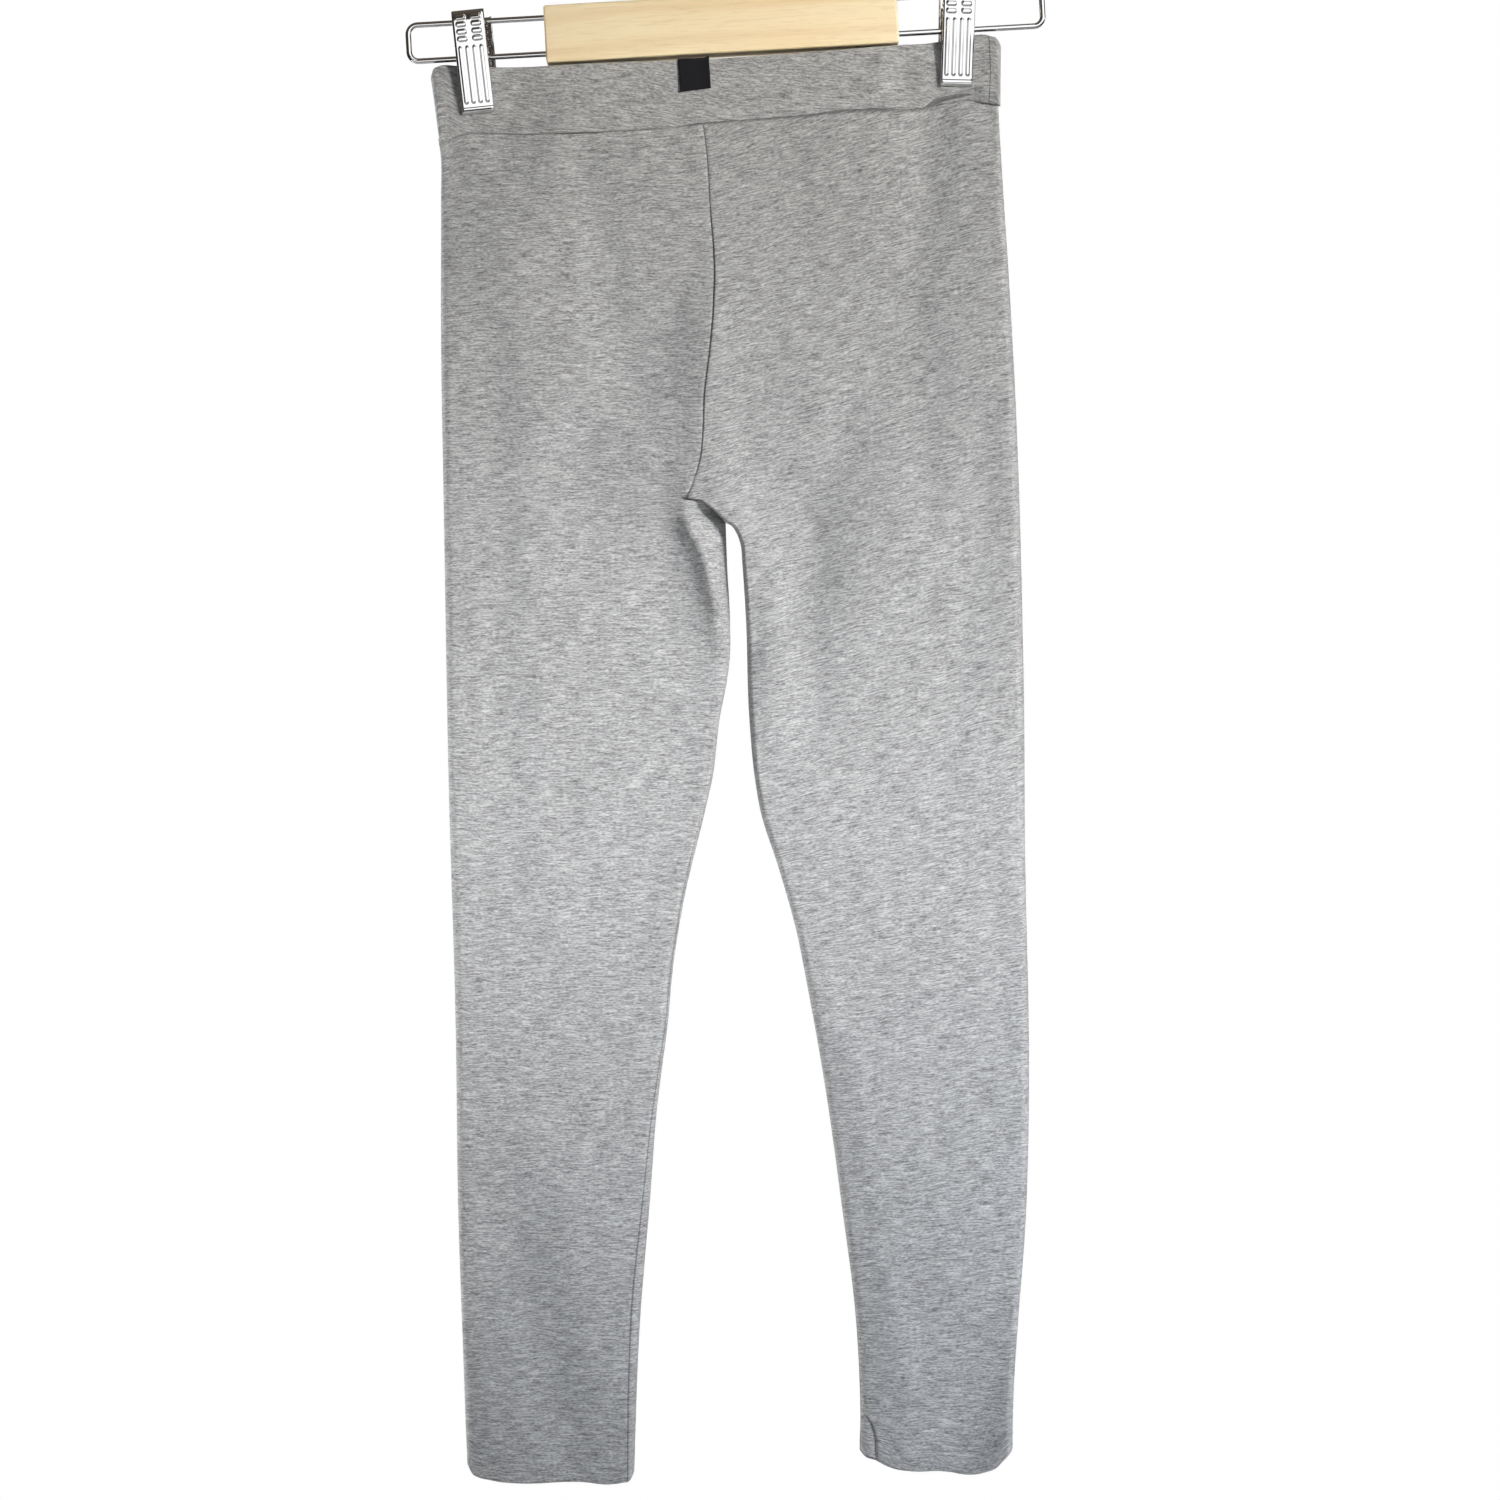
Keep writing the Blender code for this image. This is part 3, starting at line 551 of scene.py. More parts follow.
legs = {
    "crotchDown": 341.4,
    "closingDown": 235.0,
    "saddleHeight": 15.0,
    "sheetBow": 0.12,
    "panelStep": 0.7,
    "panelStepFade": 50.0,
    "topBlend": 60.0,
    "topLevel": 131.0,
    "hemBlend": 34.0,
    "hemWall": 2.2,
    "hemSwell": 0.3,
    "hemTurn": (16.8, 1.6),  # how far up the swell reaches, and the width of its edge
    "needleRows": (14.6, 11.4),
    "needleDent": (0.5, 0.7),  # depth and half width, as in the rows below
    "bandGroove": (129.0, 1.3, 2.2),  # its level first
    "seamDent": (0.22, 0.8),
    "seamRidgeHalf": 2.4,
    "riseDrawHalf": 0.9,
    "riseRidge": (0.08, 2.6, 1.6),  # height, distance from the rise and half width
    "backDraw": 0.45,
    "leastDepth": 0.8,
    "cloth": 0.95,
    "columns": (92, 40),  # on the front, on the back
    # row number, level
    "rows": ((0, 127.5), (6, 131.5), (14, 139), (64, 290), (80, 325), (98, 333), (110, 341.4), (150, 400), (214, 560),
             (316, 814), (346, 848.5)),
    "rise": ((124, -9), (144, -6.5), (175, -5.1), (203, -3.4), (223, -4.0), (244, -5.9), (273, -9.9), (295, -11.3),
             (308, -12.9), (319, -16.6), (330, -22.5)),
    # from the corner the seam turns along the fold of the other leg
    "fold": ((319, -16.6), (324, -18.8), (328.3, -20.9), (329.2, -19.4), (329.9, -13.4), (334, -8.2), (341.4, -0.4)),
    "foldDown": 319.0,
    "backRise": ((124, 1.5), (230, 1.0), (341.4, -0.4)),
    "foldLimit": 7.2,
    # across, how strongly the waistband's lower edge is shaded
    "bandShadow": ((-155, 1.12), (-60, 1.44), (0, 1.92), (60, 3.04), (108, 3.2), (122, 1.44), (150, 1.12)),
}  # fmt: skip

# troughs and ridges (less than 0) that run over the front of both legs: half width, depth, points
frontFolds = (
    (11.7, 1.5, ((122, 74), (103, 218), (106, 357))),
    (10, 1.25, ((-76, 118), (-50, 267), (-5, 286))),
    (24, 2.5, ((-141, 135), (-145, 153), (-186, 246))),
    (22.7, -2.12, ((-10, 159), (5, 218), (63, 296))),
    (24, -2.12, ((-110, 162), (-95, 250), (-94, 300))),
    (17.9, 1.12, ((112, 164), (81, 254), (56, 338))),
    (23.8, 1.62, ((26, 180), (-54, 275), (-99, 338))),
    (9.2, -0.75, ((-109, 184), (-106, 318), (-95, 579))),
    (17.9, -5.12, ((-5, 212), (-10, 328), (7, 421))),
    (13.4, 1, ((-117, 225), (-122, 368), (-121, 552))),
    (9.5, 1.38, ((138, 266), (134, 360), (106, 510))),
    (14.7, 1.88, ((-83, 279), (-69, 357), (-97, 377))),
    (23.3, -3.5, ((77, 294), (90, 355), (-14, 488))),
    (22.4, -3.75, ((-16, 297), (-6, 336), (11, 400))),
    (14.1, 3.25, ((43, 310), (43, 398), (44, 471))),
    (11.3, 1.88, ((-40, 316), (-31, 320), (-33, 387))),
    (24, 4.62, ((-37, 330), (-45, 359), (-3, 434))),
    (8.3, -1.62, ((25, 353), (20, 446), (32, 484))),
    (8.9, -1.75, ((-22, 504), (-38, 571), (-58, 594))),
    (9.1, -1, ((40, 572), (61, 626), (85, 798))),
    (23.7, -1.12, ((76, 598), (71, 655), (130, 771))),
    (17.1, -1.75, ((-97, 652), (-84, 778), (-54, 820))),
    (13.6, 2.25, ((-127, 697), (-96, 822), (-88, 913))),
    (11.6, -3, ((173, 732), (117, 905), (131, 878))),
    (10.4, 2.62, ((-152, 777), (-157, 812), (-136, 865))),
    (21.1, 2.62, ((82, 786), (122, 782), (102, 894))),
    (2.6, 0.5, ((11.5, 376), (20.6, 411))),
    (2.4, 0.45, ((12, 398), (23, 436))),
    (2.6, 0.5, ((15, 425), (31, 458))),
)
foldEnds = 25.0  # length over which a fold fades

legSides = {
    "right": {
        "outer": ((124, -149), (138, -147.6), (165, -147.9), (240, -149.4), (340, -149.9), (480, -150.3),
                  (610, -149.3), (700, -150), (790, -148.8), (848, -148)),
        "inner": ((341.4, -0.4), (363, -0.1), (393, 0.8), (412, 0.4), (425, -1.4), (444, -5.5), (478, -10.5),
                  (494, -14.5), (541, -26.7), (573, -32.7), (605, -36.5), (652, -43.4), (700, -48.1), (764, -54.7),
                  (811, -57.8), (848, -59.4)),
        "hemBottom": 849.0,
        # metres and square metres, from the outline's widths, the depth and the lengths
        "cut": (0.33, 0.74),
        "cutArea": 0.1996,
        # share across from the inner fold, how far up from the lowest place
        "hemRise": ((0, 5), (0.02, 1.8), (0.06, 0.8), (0.13, 0), (0.3, 1.3), (0.7, 1.6), (0.8, 2.3), (0.87, 3.4),
                    (0.94, 4.8), (0.97, 6.3), (1, 11)),
        # down, how far the front sinks toward the rise and the inner thigh
        "dip": ((124, 0.2), (310, 0.2), (326, 0.4), (331, 5.4), (341, 8.4), (352, 8.2), (382, 6.4), (398, 3.2),
                (420, 0.6), (450, 0.1), (848, 0.1)),
        "dipWidth": ((124, 4), (330, 4), (335, 13), (343, 14), (352, 9), (364, 5.6), (400, 4.4), (430, 8), (848, 8)),
        # down, how far the inner edge lies toward the back
        "backward": ((328, 0), (334, 3.0), (341.4, 4.6), (352, 4.6), (385, 3.6), (408, 0), (848, 0)),
        # down, how deep the edge is drawn in right at the seam
        "draw": ((124, 0.12), (250, 0.2), (341.4, 0.25)),
        # down, how broad the rounding toward the rise or the inner thigh is, on the front
        "innerRounding": ((124, 4.5), (390, 4.5), (415, 3.0), (520, 3.0), (620, 4.5), (848, 4.5)),
        # down, how strong the inseam's line of painted shade shows
        "seamLine": ((124, 0.1), (480, 0.12), (560, 0.7), (700, 1.0), (848, 1.1)),
        "slant": ((130, 0.0), (850, 0.0)),
        # down, how far the inseam lies in from the inner edge, on the front
        "inseam": ((124, -30), (300, -12), (322, 10), (329, 20.8), (335, 20.8), (341.4, 20.3), (351, 15.6),
                   (361.5, 11.2), (371.6, 8.6), (386, 7.2), (406, 7.8), (430, 6.0), (470, 3.2), (540, 1.2),
                   (594, 1.2), (650, 2.2), (700, 3.8), (750, 4.9), (790, 4.4), (848, 3.6)),
        "inseamRidge": ((336, 0.8), (346, 1.9), (372, 1.9), (390, 1.2), (420, 0.4), (470, 0.1), (848, 0.1)),
        "creases": (
            (16.0, 9.0, 3.9, 16.0, ((-7, 396), (-7, 384), (-9, 372), (-11, 362), (-16, 351), (-21, 340), (-24, 328))),
        ),
        "backFolds": (
            (12.0, 1.0, 35.0, ((-118, 145), (-120, 320))),
            (12.0, 1.3, 25.0, ((-20, 305), (-62, 232))),
            (12.0, 1.4, 20.0, ((-18, 348), (-60, 405))),
            (14.0, 0.8, 35.0, ((-92, 510), (-97, 640))),
            (9.0, 1.1, 15.0, ((-120, 786), (-98, 824))),
        ),
    },
    "left": {
        "outer": ((118, 148.4), (152, 149.8), (216, 152.7), (311, 155.5), (364, 156), (439, 156), (518, 154.9),
                  (633, 154.6), (678, 153.2), (720, 150.7), (768, 146), (815, 142.3), (848, 141.6)),
        "inner": ((341.4, -0.4), (343, 2.6), (345.5, 4.4), (349, 6.1), (354, 7.4), (362, 7.9), (393, 9.3), (444, 9.9),
                  (478, 12.3), (494, 14.7), (526, 24.1), (558, 32.4), (590, 38.1), (638, 45.6), (702, 53.3),
                  (766, 59.9), (808, 61.2), (848, 60.4)),
        "hemBottom": 848.0,
        "cut": (0.35, 0.74),
        "cutArea": 0.2023,
        "hemRise": ((0, 13), (0.03, 10.4), (0.07, 9.2), (0.106, 8.2), (0.16, 5.9), (0.21, 4.3), (0.33, 2.5),
                    (0.52, 2.1), (0.59, 1.5), (0.66, 0.3), (0.76, 0.1), (0.81, 1.1), (0.85, 2.1), (0.89, 3.6),
                    (0.93, 6.8), (0.98, 10.9), (1, 12.5)),
        "dip": ((124, 0.2), (341.4, 0.2), (358, 0.8), (370, 2.2), (390, 2.8), (420, 1.8), (460, 0.8), (600, 0.6),
                (848, 0.9)),
        "dipWidth": ((124, 11), (341, 9), (360, 6), (395, 9), (430, 11), (848, 11)),
        "backward": ((341.4, 0), (848, 0)),
        "draw": ((124, 0.12), (250, 0.2), (318, 0.25), (328, 0.6), (341.4, 0.6)),
        "innerRounding": ((124, 4.5), (318, 4.5), (329, 2.2), (356, 2.2), (420, 2.8), (560, 3.6), (848, 4.5)),
        "seamLine": ((124, 0.05), (500, 0.1), (620, 0.3), (848, 0.45)),
        "slant": ((130, 0.22), (450, 0.2), (650, 0.08), (850, 0.0)),
        "inseam": ((124, -60), (341.4, -20), (347, 0.0), (355, 1.5), (372, 3.4), (382, 3.9), (397, 2.7), (414, 1.4),
                   (460, 0.6), (848, 0.4)),
        "inseamRidge": ((341.4, 0.0), (372, 0.5), (420, 0.2), (848, 0.05)),
        "creases": (
            (6.0, 1.2, 1.9, 6.0, ((70, 848), (70, 829), (68, 821), (64, 813), (60, 804))),
        ),
        "backFolds": (
            (12.0, 1.0, 35.0, ((112, 140), (110, 300))),
            (12.0, 1.2, 25.0, ((18, 310), (64, 245))),
            (12.0, 1.3, 20.0, ((24, 350), (72, 415))),
            (13.0, 0.8, 35.0, ((96, 550), (101, 670))),
            (9.0, 1.0, 15.0, ((122, 776), (98, 820))),
        ),
    },
}  # fmt: skip


def legDown(side, across, level, share):
    follow = (1 - np.clip((level - legs["topLevel"]) / legs["topBlend"], 0, 1)) ** 2
    down = level + follow * (bandLine(band["bottom"], across) - legs["topLevel"])
    rise = curveAt(legSides[side]["hemRise"], share)
    return down - rise * softStep((level - legSides[side]["hemBottom"] + legs["hemBlend"]) / legs["hemBlend"])


def legSurface(side, around, level, inset):
    # around: 0 at the seam on the front, 0.5 at the outer fold, 1 at the seam on the back
    spec = legSides[side]
    sign = -1 if side == "right" else 1
    around, level, inset = np.broadcast_arrays(around, level, inset)
    face = np.where(around <= 0.5, -1.0, 1.0)
    fromSeam = np.where(around <= 0.5, 2 * around, 2 - 2 * around)
    share = (1 - np.cos(math.pi * fromSeam)) / 2
    above = level < legs["crotchDown"]
    outer = curveAt(spec["outer"], level) - sign * inset
    rise = np.where(level < legs["foldDown"], curveAt(legs["rise"], level), lineAt(legs["fold"], level))
    rise = np.where(face < 0, rise, lineAt(legs["backRise"], level))
    inner = np.where(above, rise, curveAt(spec["inner"], level) + sign * inset)
    width = np.abs(outer - inner)
    across = inner + share * (outer - inner)
    down = legDown(side, across, level, share)
    step = legs["panelStep"] * (1 - softStep((level - legs["topLevel"]) / legs["panelStepFade"]))
    grooveLevel, grooveDepth, grooveHalf = legs["bandGroove"]
    step = step + grooveDepth * bump(level - grooveLevel, grooveHalf)
    depth = halfDepth(across, down) - step
    rim = quarterRound((legs["crotchDown"] - level) / legs["saddleHeight"])
    rounding = body["sideRounding"] * depth
    atSide = quarterRound((1 - share) * width / rounding)
    innerRounding = np.where(face < 0, curveAt(spec["innerRounding"], level), rounding)
    atSeam = np.sqrt(1 - (1 - quarterRound(share * width / innerRounding) ** 2) * (1 - rim**2))
    closing = softStep((level - legs["closingDown"]) / (legs["crotchDown"] - legs["closingDown"]))
    bow = 1 - legs["sheetBow"] * (2 * share - 1) ** 2 * closing
    fromInner = share * width
    front = face < 0
    folds = [(halfWidth, depth, foldEnds, points) for halfWidth, depth, points in frontFolds]
    sunk = np.where(front, curveAt(spec["dip"], level), 0.0) * bump(fromInner, lineAt(spec["dipWidth"], level))
    sunk = sunk + np.where(front, foldDepth(folds, across, down), foldDepth(spec["backFolds"], across, down))
    sunk = sunk + np.where(front, creaseDepth(spec["creases"], across, down), 0.0)
    fromCrotch = np.where(above, sign * (across + 0.4), fromInner)
    seamAway = fromCrotch - curveAt(spec["inseam"], level)
    ridge = curveAt(spec["inseamRidge"], level)
    below = softStep((level - 329) / 5)
    dent, dentHalf = legs["seamDent"]
    seamRelief = -ridge * bump(seamAway, legs["seamRidgeHalf"]) + dent * bump(seamAway, dentHalf)
    sunk = sunk + np.where(front, seamRelief * below, 0.0)
    sunk = legs["foldLimit"] * np.tanh(sunk / legs["foldLimit"])
    draw = np.where(front, curveAt(spec["draw"], level), legs["backDraw"])
    high, away, half = legs["riseRidge"]
    drawn = draw * bump(fromInner, legs["riseDrawHalf"]) - high * bump(fromInner - away, half)
    sunk = sunk + np.where(above, drawn, 0.0)
    sunk = sunk + ripple(across, down, 83.0, 0.35, 0.7 * sign)
    fromHem = spec["hemBottom"] - level
    reach, edge = legs["hemTurn"]
    swell = legs["hemSwell"] * softStep((reach - fromHem) / edge)
    dent, dentHalf = legs["needleDent"]
    for needle in legs["needleRows"]:
        swell = swell - dent * bump(fromHem - needle, dentHalf)
    sunk = sunk - np.where(inset <= 0, swell, 0.0)
    y = face * atSide * atSeam * np.maximum(legs["leastDepth"], depth * bow - inset - sunk)
    y = y + lineAt(spec["backward"], level) * bump(fromInner, lineAt(spec["dipWidth"], level))
    # distances to the inseam, the rise and the waistband's lower edge, where the material paints shade as a dark line
    inseamAway = np.where(front, seamAway / lineAt(spec["seamLine"], level), 30.0)
    riseAway = np.where(above, fromInner * (1.2 + 1.5 * softStep((level - 290) / 40)), 30.0)
    underBand = (down - bandLine(band["bottom"], across)) / curveAt(legs["bandShadow"], across)
    riseAway = np.where(front & (level < 160), np.minimum(riseAway, np.maximum(0, underBand)), riseAway)
    return inSpace(across, y, down), np.stack(np.broadcast_arrays(inseamAway, riseAway), axis=-1)


def legPiece(side):
    spec = legSides[side]
    bottom = spec["hemBottom"]
    numbers, levels = np.array(legs["rows"], float).T
    main = np.interp(np.arange(numbers[-1] + 1), numbers, levels)
    main = main + (bottom - 849.0) * softStep((main - 700) / 100)
    radius = legs["hemWall"] / 2
    rows = [(level, 0.0) for level in main]
    rows += [(bottom - 0.5 + radius * math.sin(a), radius * (1 - math.cos(a))) for a in np.linspace(0, math.pi, 7)[1:]]
    rows += [(level, legs["hemWall"]) for level in np.linspace(bottom - 3, bottom - 15.5, 6)]
    level, inset = (np.array(column)[:, None] for column in zip(*rows))
    onFront, onBack = legs["columns"]
    around = np.concatenate((np.linspace(0, 0.5, onFront + 1), np.linspace(0.5, 1, onBack + 1)[1:]))[None, :]
    points, seams = legSurface(side, around, level, inset)
    walked = walkAlong(points, 1)
    u = walked - walked[:, onFront][:, None]
    drops = np.linalg.norm(np.diff(points, axis=0), axis=2).mean(axis=1)
    v = np.concatenate(([0.0], np.cumsum(drops)))[:, None]
    slant = curveAt(spec["slant"], level)
    weave = np.stack((u + (0 if side == "right" else 1000), v + slant * (u + 0 * v)), axis=-1)
    bm = clothGrid(onFront + onBack, len(rows) - 1, points, weave, seams)
    cleanUp(bm)
    piece = finishPiece(side + "LegCloth", bm, "jersey", [side + "_leg"])
    wallModifier(piece, legs["cloth"])
    return piece


stitch = {
    "pitch": 3.1,
    "length": 2.3,
    "halfLength": 1.25,
    "radius": 0.28,
    "lift": 0.05,
    "steps": 900,
    "seams": (0.3, 30.0),  # shaded as if this near the inseam
}


def hemStitches(side):
    # two rows of needle stitches round the hem, small threads lying in the dents
    bottom, steps = legSides[side]["hemBottom"], stitch["steps"]
    size = Matrix.Diagonal((stitch["halfLength"] * mm, stitch["radius"] * mm, stitch["radius"] * mm, 1))
    bm = bmesh.new()
    for needle in legs["needleRows"]:
        path, _ = legSurface(side, np.linspace(0.002, 0.998, steps), np.full(steps, bottom - needle), np.zeros(steps))
        walked = walkAlong(path, 0)
        count = int(walked[-1] / stitch["pitch"])
        for start in (np.arange(count) + 0.1) * walked[-1] / count:
            both = (start, start + stitch["length"])
            ends = [Vector([np.interp(at, walked, path[:, k]) for k in range(3)]) for at in both]
            middle = (ends[0] + ends[1]) / 2
            out = Vector((0, 1 if middle.y > 0 else -1, 0))
            turn = (ends[1] - ends[0]).normalized().to_track_quat("X", "Z").to_matrix().to_4x4()
            place = Matrix.Translation((middle + out * stitch["lift"]) * mm) @ turn @ size
            bmesh.ops.create_icosphere(bm, subdivisions=1, radius=1.0, matrix=place)
    clothUvs(bm, lambda vert: (vert.co.x * 100, vert.co.z * 100), lambda vert: stitch["seams"])
    return finishPiece(side + "HemStitches", bm, "jersey")


for side in ("right", "left"):
    cloth = legPiece(side)
    thread = hemStitches(side)


# ---- the label

label = {
    "along": (-24.0, -7.5),
    "drop": (16.9, 15.6),
    "cut": (0.0165, 0.0212),  # the width, and the mean drop with the bend over the top
    "lift": 0.75,
    "wall": 0.5,
    "columns": 24,
    "rows": 26,
}


def labelPiece():
    # a square of tape that lies on the band's front and turns in over its top edge
    shares = np.linspace(0, 1, label["columns"] + 1)
    along = label["along"][0] + shares * (label["along"][1] - label["along"][0])
    left, right = band["top"][0][0], band["top"][-1][0]
    shareAlong = (along - left) / (right - left)
    bandHeight = curveAt(band["bottom"], along) - curveAt(band["top"], along)
    dropOf = label["drop"][0] + shares * (label["drop"][1] - label["drop"][0])
    radius = band["wall"] / 2
    rows = []
    for k in np.linspace(0, 1, label["rows"] - 7):
        drop = dropOf * (1 - k) + 0.6 * k
        points, _, _ = bandSurface(shareAlong, -np.ones_like(along), drop / bandHeight, radius, np.zeros_like(along))
        corner = 0.35 * bump(shares - 1, 0.15) * bump(k - 1, 0.25) + 0.3 * bump(shares, 0.12) * bump(k, 0.2)
        points[:, 1] -= label["lift"] + corner + 0.12 * np.sin(5 * shares + 2 * k)
        rows.append(points)
    for angle in np.linspace(0.15, 1, 8) * math.pi:
        lower = radius * (1 - math.sin(angle)) - label["lift"] * math.sin(angle)
        inset = radius * (1 - math.cos(angle)) - label["lift"] * math.cos(angle)
        insets = np.full_like(along, inset)
        points, _, _ = bandSurface(shareAlong, -np.ones_like(along), np.zeros_like(along), lower, insets)
        points[:, 2] += 0.9 * bump(shares - 1, 0.1) * math.sin(angle)
        rows.append(points)
    points = np.array(rows)
    spread = np.broadcast_to(shares[None, :] * 16.5, points.shape[:2])
    fall = np.broadcast_to(np.linspace(0, 21, len(rows))[:, None], points.shape[:2])
    noSeams = np.full((*points.shape[:2], 2), 30.0)
    bm = clothGrid(label["columns"], len(rows) - 1, points, np.stack((spread, fall), axis=-1), noSeams)
    bmesh.ops.recalc_face_normals(bm, faces=bm.faces)
    if bm.faces[0].normal.y > 0:
        bmesh.ops.reverse_faces(bm, faces=bm.faces)
    piece = finishPiece("labelTape", bm, "label", ["label"])
    wallModifier(piece, label["wall"])
    return piece


tape = labelPiece()
print("label made")


# ---- the hanger


hangerTurn = Matrix.Rotation(-hanger["tilt"], 4, "Y")


def onHanger(along, down):  # a place on the tilted hanger
    return hangerTurn @ Matrix.Translation(Vector((along, 0, -down)) * mm)


def tubePiece(name, path, radius, replaced):
    curve = bpy.data.curves.new(name, "CURVE")
    curve.dimensions = "3D"
    curve.bevel_depth = radius * mm
    curve.bevel_resolution = 6
    curve.use_fill_caps = True
    spline = curve.splines.new("POLY")
    spline.points.add(len(path) - 1)
    for spot, (along, down) in zip(spline.points, path):
        spot.co = (*(hangerTurn @ Vector((along * mm, 0, -down * mm))), 1)
    drawn = addObject(name + "Line", curve)
    bpy.context.view_layer.update()
    bm = bmesh.new()
    bm.from_mesh(drawn.evaluated_get(bpy.context.evaluated_depsgraph_get()).to_mesh())
    bpy.data.objects.remove(drawn)
    cleanUp(bm)
    return finishPiece(name, bm, "chrome", replaced, 50)


def arc(along, down, radius, start, end, steps):
    angles = np.radians(np.linspace(start, end, steps + 1))
    return [(along + radius * math.cos(a), down - radius * math.sin(a)) for a in angles]


def wireLoop(side):
    sign = -1 if side == "right" else 1
    upper, lower = hanger["wireDown"]
    start = hanger["blockSize"][0] / 2 - 0.5
    corner = hanger["wireCorner"]
    turn = hanger["wireReach"][side] - corner
    path = [(start, upper)]
    path += arc(turn, upper + corner, corner, 90, 0, 14)
    path += arc(turn, lower - corner, corner, 0, -90, 14)
    path += [(start, lower)]
    path = [(sign * along, down) for along, down in path]
    return tubePiece(side + "WireLoop", path, hanger["wireRadius"], [side + "_wire_loop"])


def hookWire():
    radius = hanger["hookRadius"]
    middleDown = radius - hanger["hookWireRadius"]
    neck = math.radians(hanger["hookNeckAngle"])
    neckRadius = radius * math.cos(neck) / (1 - math.cos(neck))
    neckMiddle = middleDown - (radius + neckRadius) * math.sin(neck)
    path = arc(0, middleDown, radius, hanger["hookTipAngle"], hanger["hookNeckAngle"], 60)
    path += arc(neckRadius, neckMiddle, neckRadius, 180 + hanger["hookNeckAngle"], 180, 18)[1:]
    path += [(0, hanger["blockDown"] - hanger["blockSize"][2] / 2 + 0.5)]
    return tubePiece("hookWire", path, hanger["hookWireRadius"], ["hanger_hook"])


def pineBlock():
    length, thickness, height = hanger["blockSize"]
    bm = bmesh.new()
    bmesh.ops.create_cube(bm, size=1.0)
    bmesh.ops.scale(bm, vec=Vector((length, thickness, height)) * mm, verts=bm.verts)
    bmesh.ops.bevel(bm, geom=bm.edges[:], offset=hanger["blockEdge"] * mm, segments=5, profile=0.5, affect="EDGES",
                    material=-1)  # fmt: skip
    bmesh.ops.transform(bm, matrix=onHanger(0, hanger["blockDown"]), verts=bm.verts)
    bmesh.ops.recalc_face_normals(bm, faces=bm.faces)
    return finishPiece("pineBlock", bm, "pine", ["hanger_block"], 35)


pineBlock()
hookWire()
for side in ("right", "left"):
    wireLoop(side)
print("hanger made")


# ---- the clips

jaw = {
    "halfWidth": 8.55,
    "corner": 1.3,
    "plate": 0.8,
    "columns": (6, 5, 76),  # flange, corner, plate
    "step": 0.3,
    # up from the lip, distance of the outer face from the cloth's middle, from the lip's curl to the top's
    "path": ((0.9, 3.15), (0.3, 3.2), (0.0, 3.5), (0.1, 3.95), (0.4, 4.6), (0.8, 5.2), (1.2, 5.54), (2.0, 5.2),
             (2.6, 5.3), (3.4, 5.56), (5.0, 5.95), (16.0, 8.7), (27.0, 11.4), (31.6, 12.1), (39.8, 13.2),
             (45.6, 13.95), (49.5, 14.3), (51.8, 14.1), (53.0, 13.3), (53.5, 12.2)),
    # up from the lip, how far the sides turn in
    "flange": ((0, 0.3), (1.3, 0.5), (5, 0.9), (16, 1.6), (26.5, 2.2), (29.5, 6.2), (31.5, 7.0), (33.5, 6.2),
               (36.3, 2.4), (45.7, 1.6), (51.9, 1.2), (53.5, 0.4)),
    "ribs": {"across": (-5.6, -1.87, 1.87, 5.6), "from": 6.2, "to": 33.4, "radius": 0.85},
    "ovals": {"across": (-4.0, 4.0), "up": (38.2, 42.0, 45.8, 49.4), "halfLength": 1.5, "radius": 1.05},
    "emboss": 0.7,
    "embossEdge": 0.74,
}  # fmt: skip


def embossed(across, up):
    # ribs and small ovals pressed out of the plate, round at their ends
    high = np.zeros(np.shape(across))
    ribs, ovals = jaw["ribs"], jaw["ovals"]
    half, edge = ovals["halfLength"], jaw["embossEdge"]
    shapes = [(x, x, ribs["from"], ribs["to"], ribs["radius"]) for x in ribs["across"]]
    shapes += [(x - half, x + half, z, z, ovals["radius"]) for x in ovals["across"] for z in ovals["up"]]
    for left, right, low, top, radius in shapes:
        away = np.hypot(across - np.clip(across, left, right), up - np.clip(up, low, top))
        high = np.maximum(high, softStep((radius + edge / 2 - away) / edge))
    return jaw["emboss"] * high


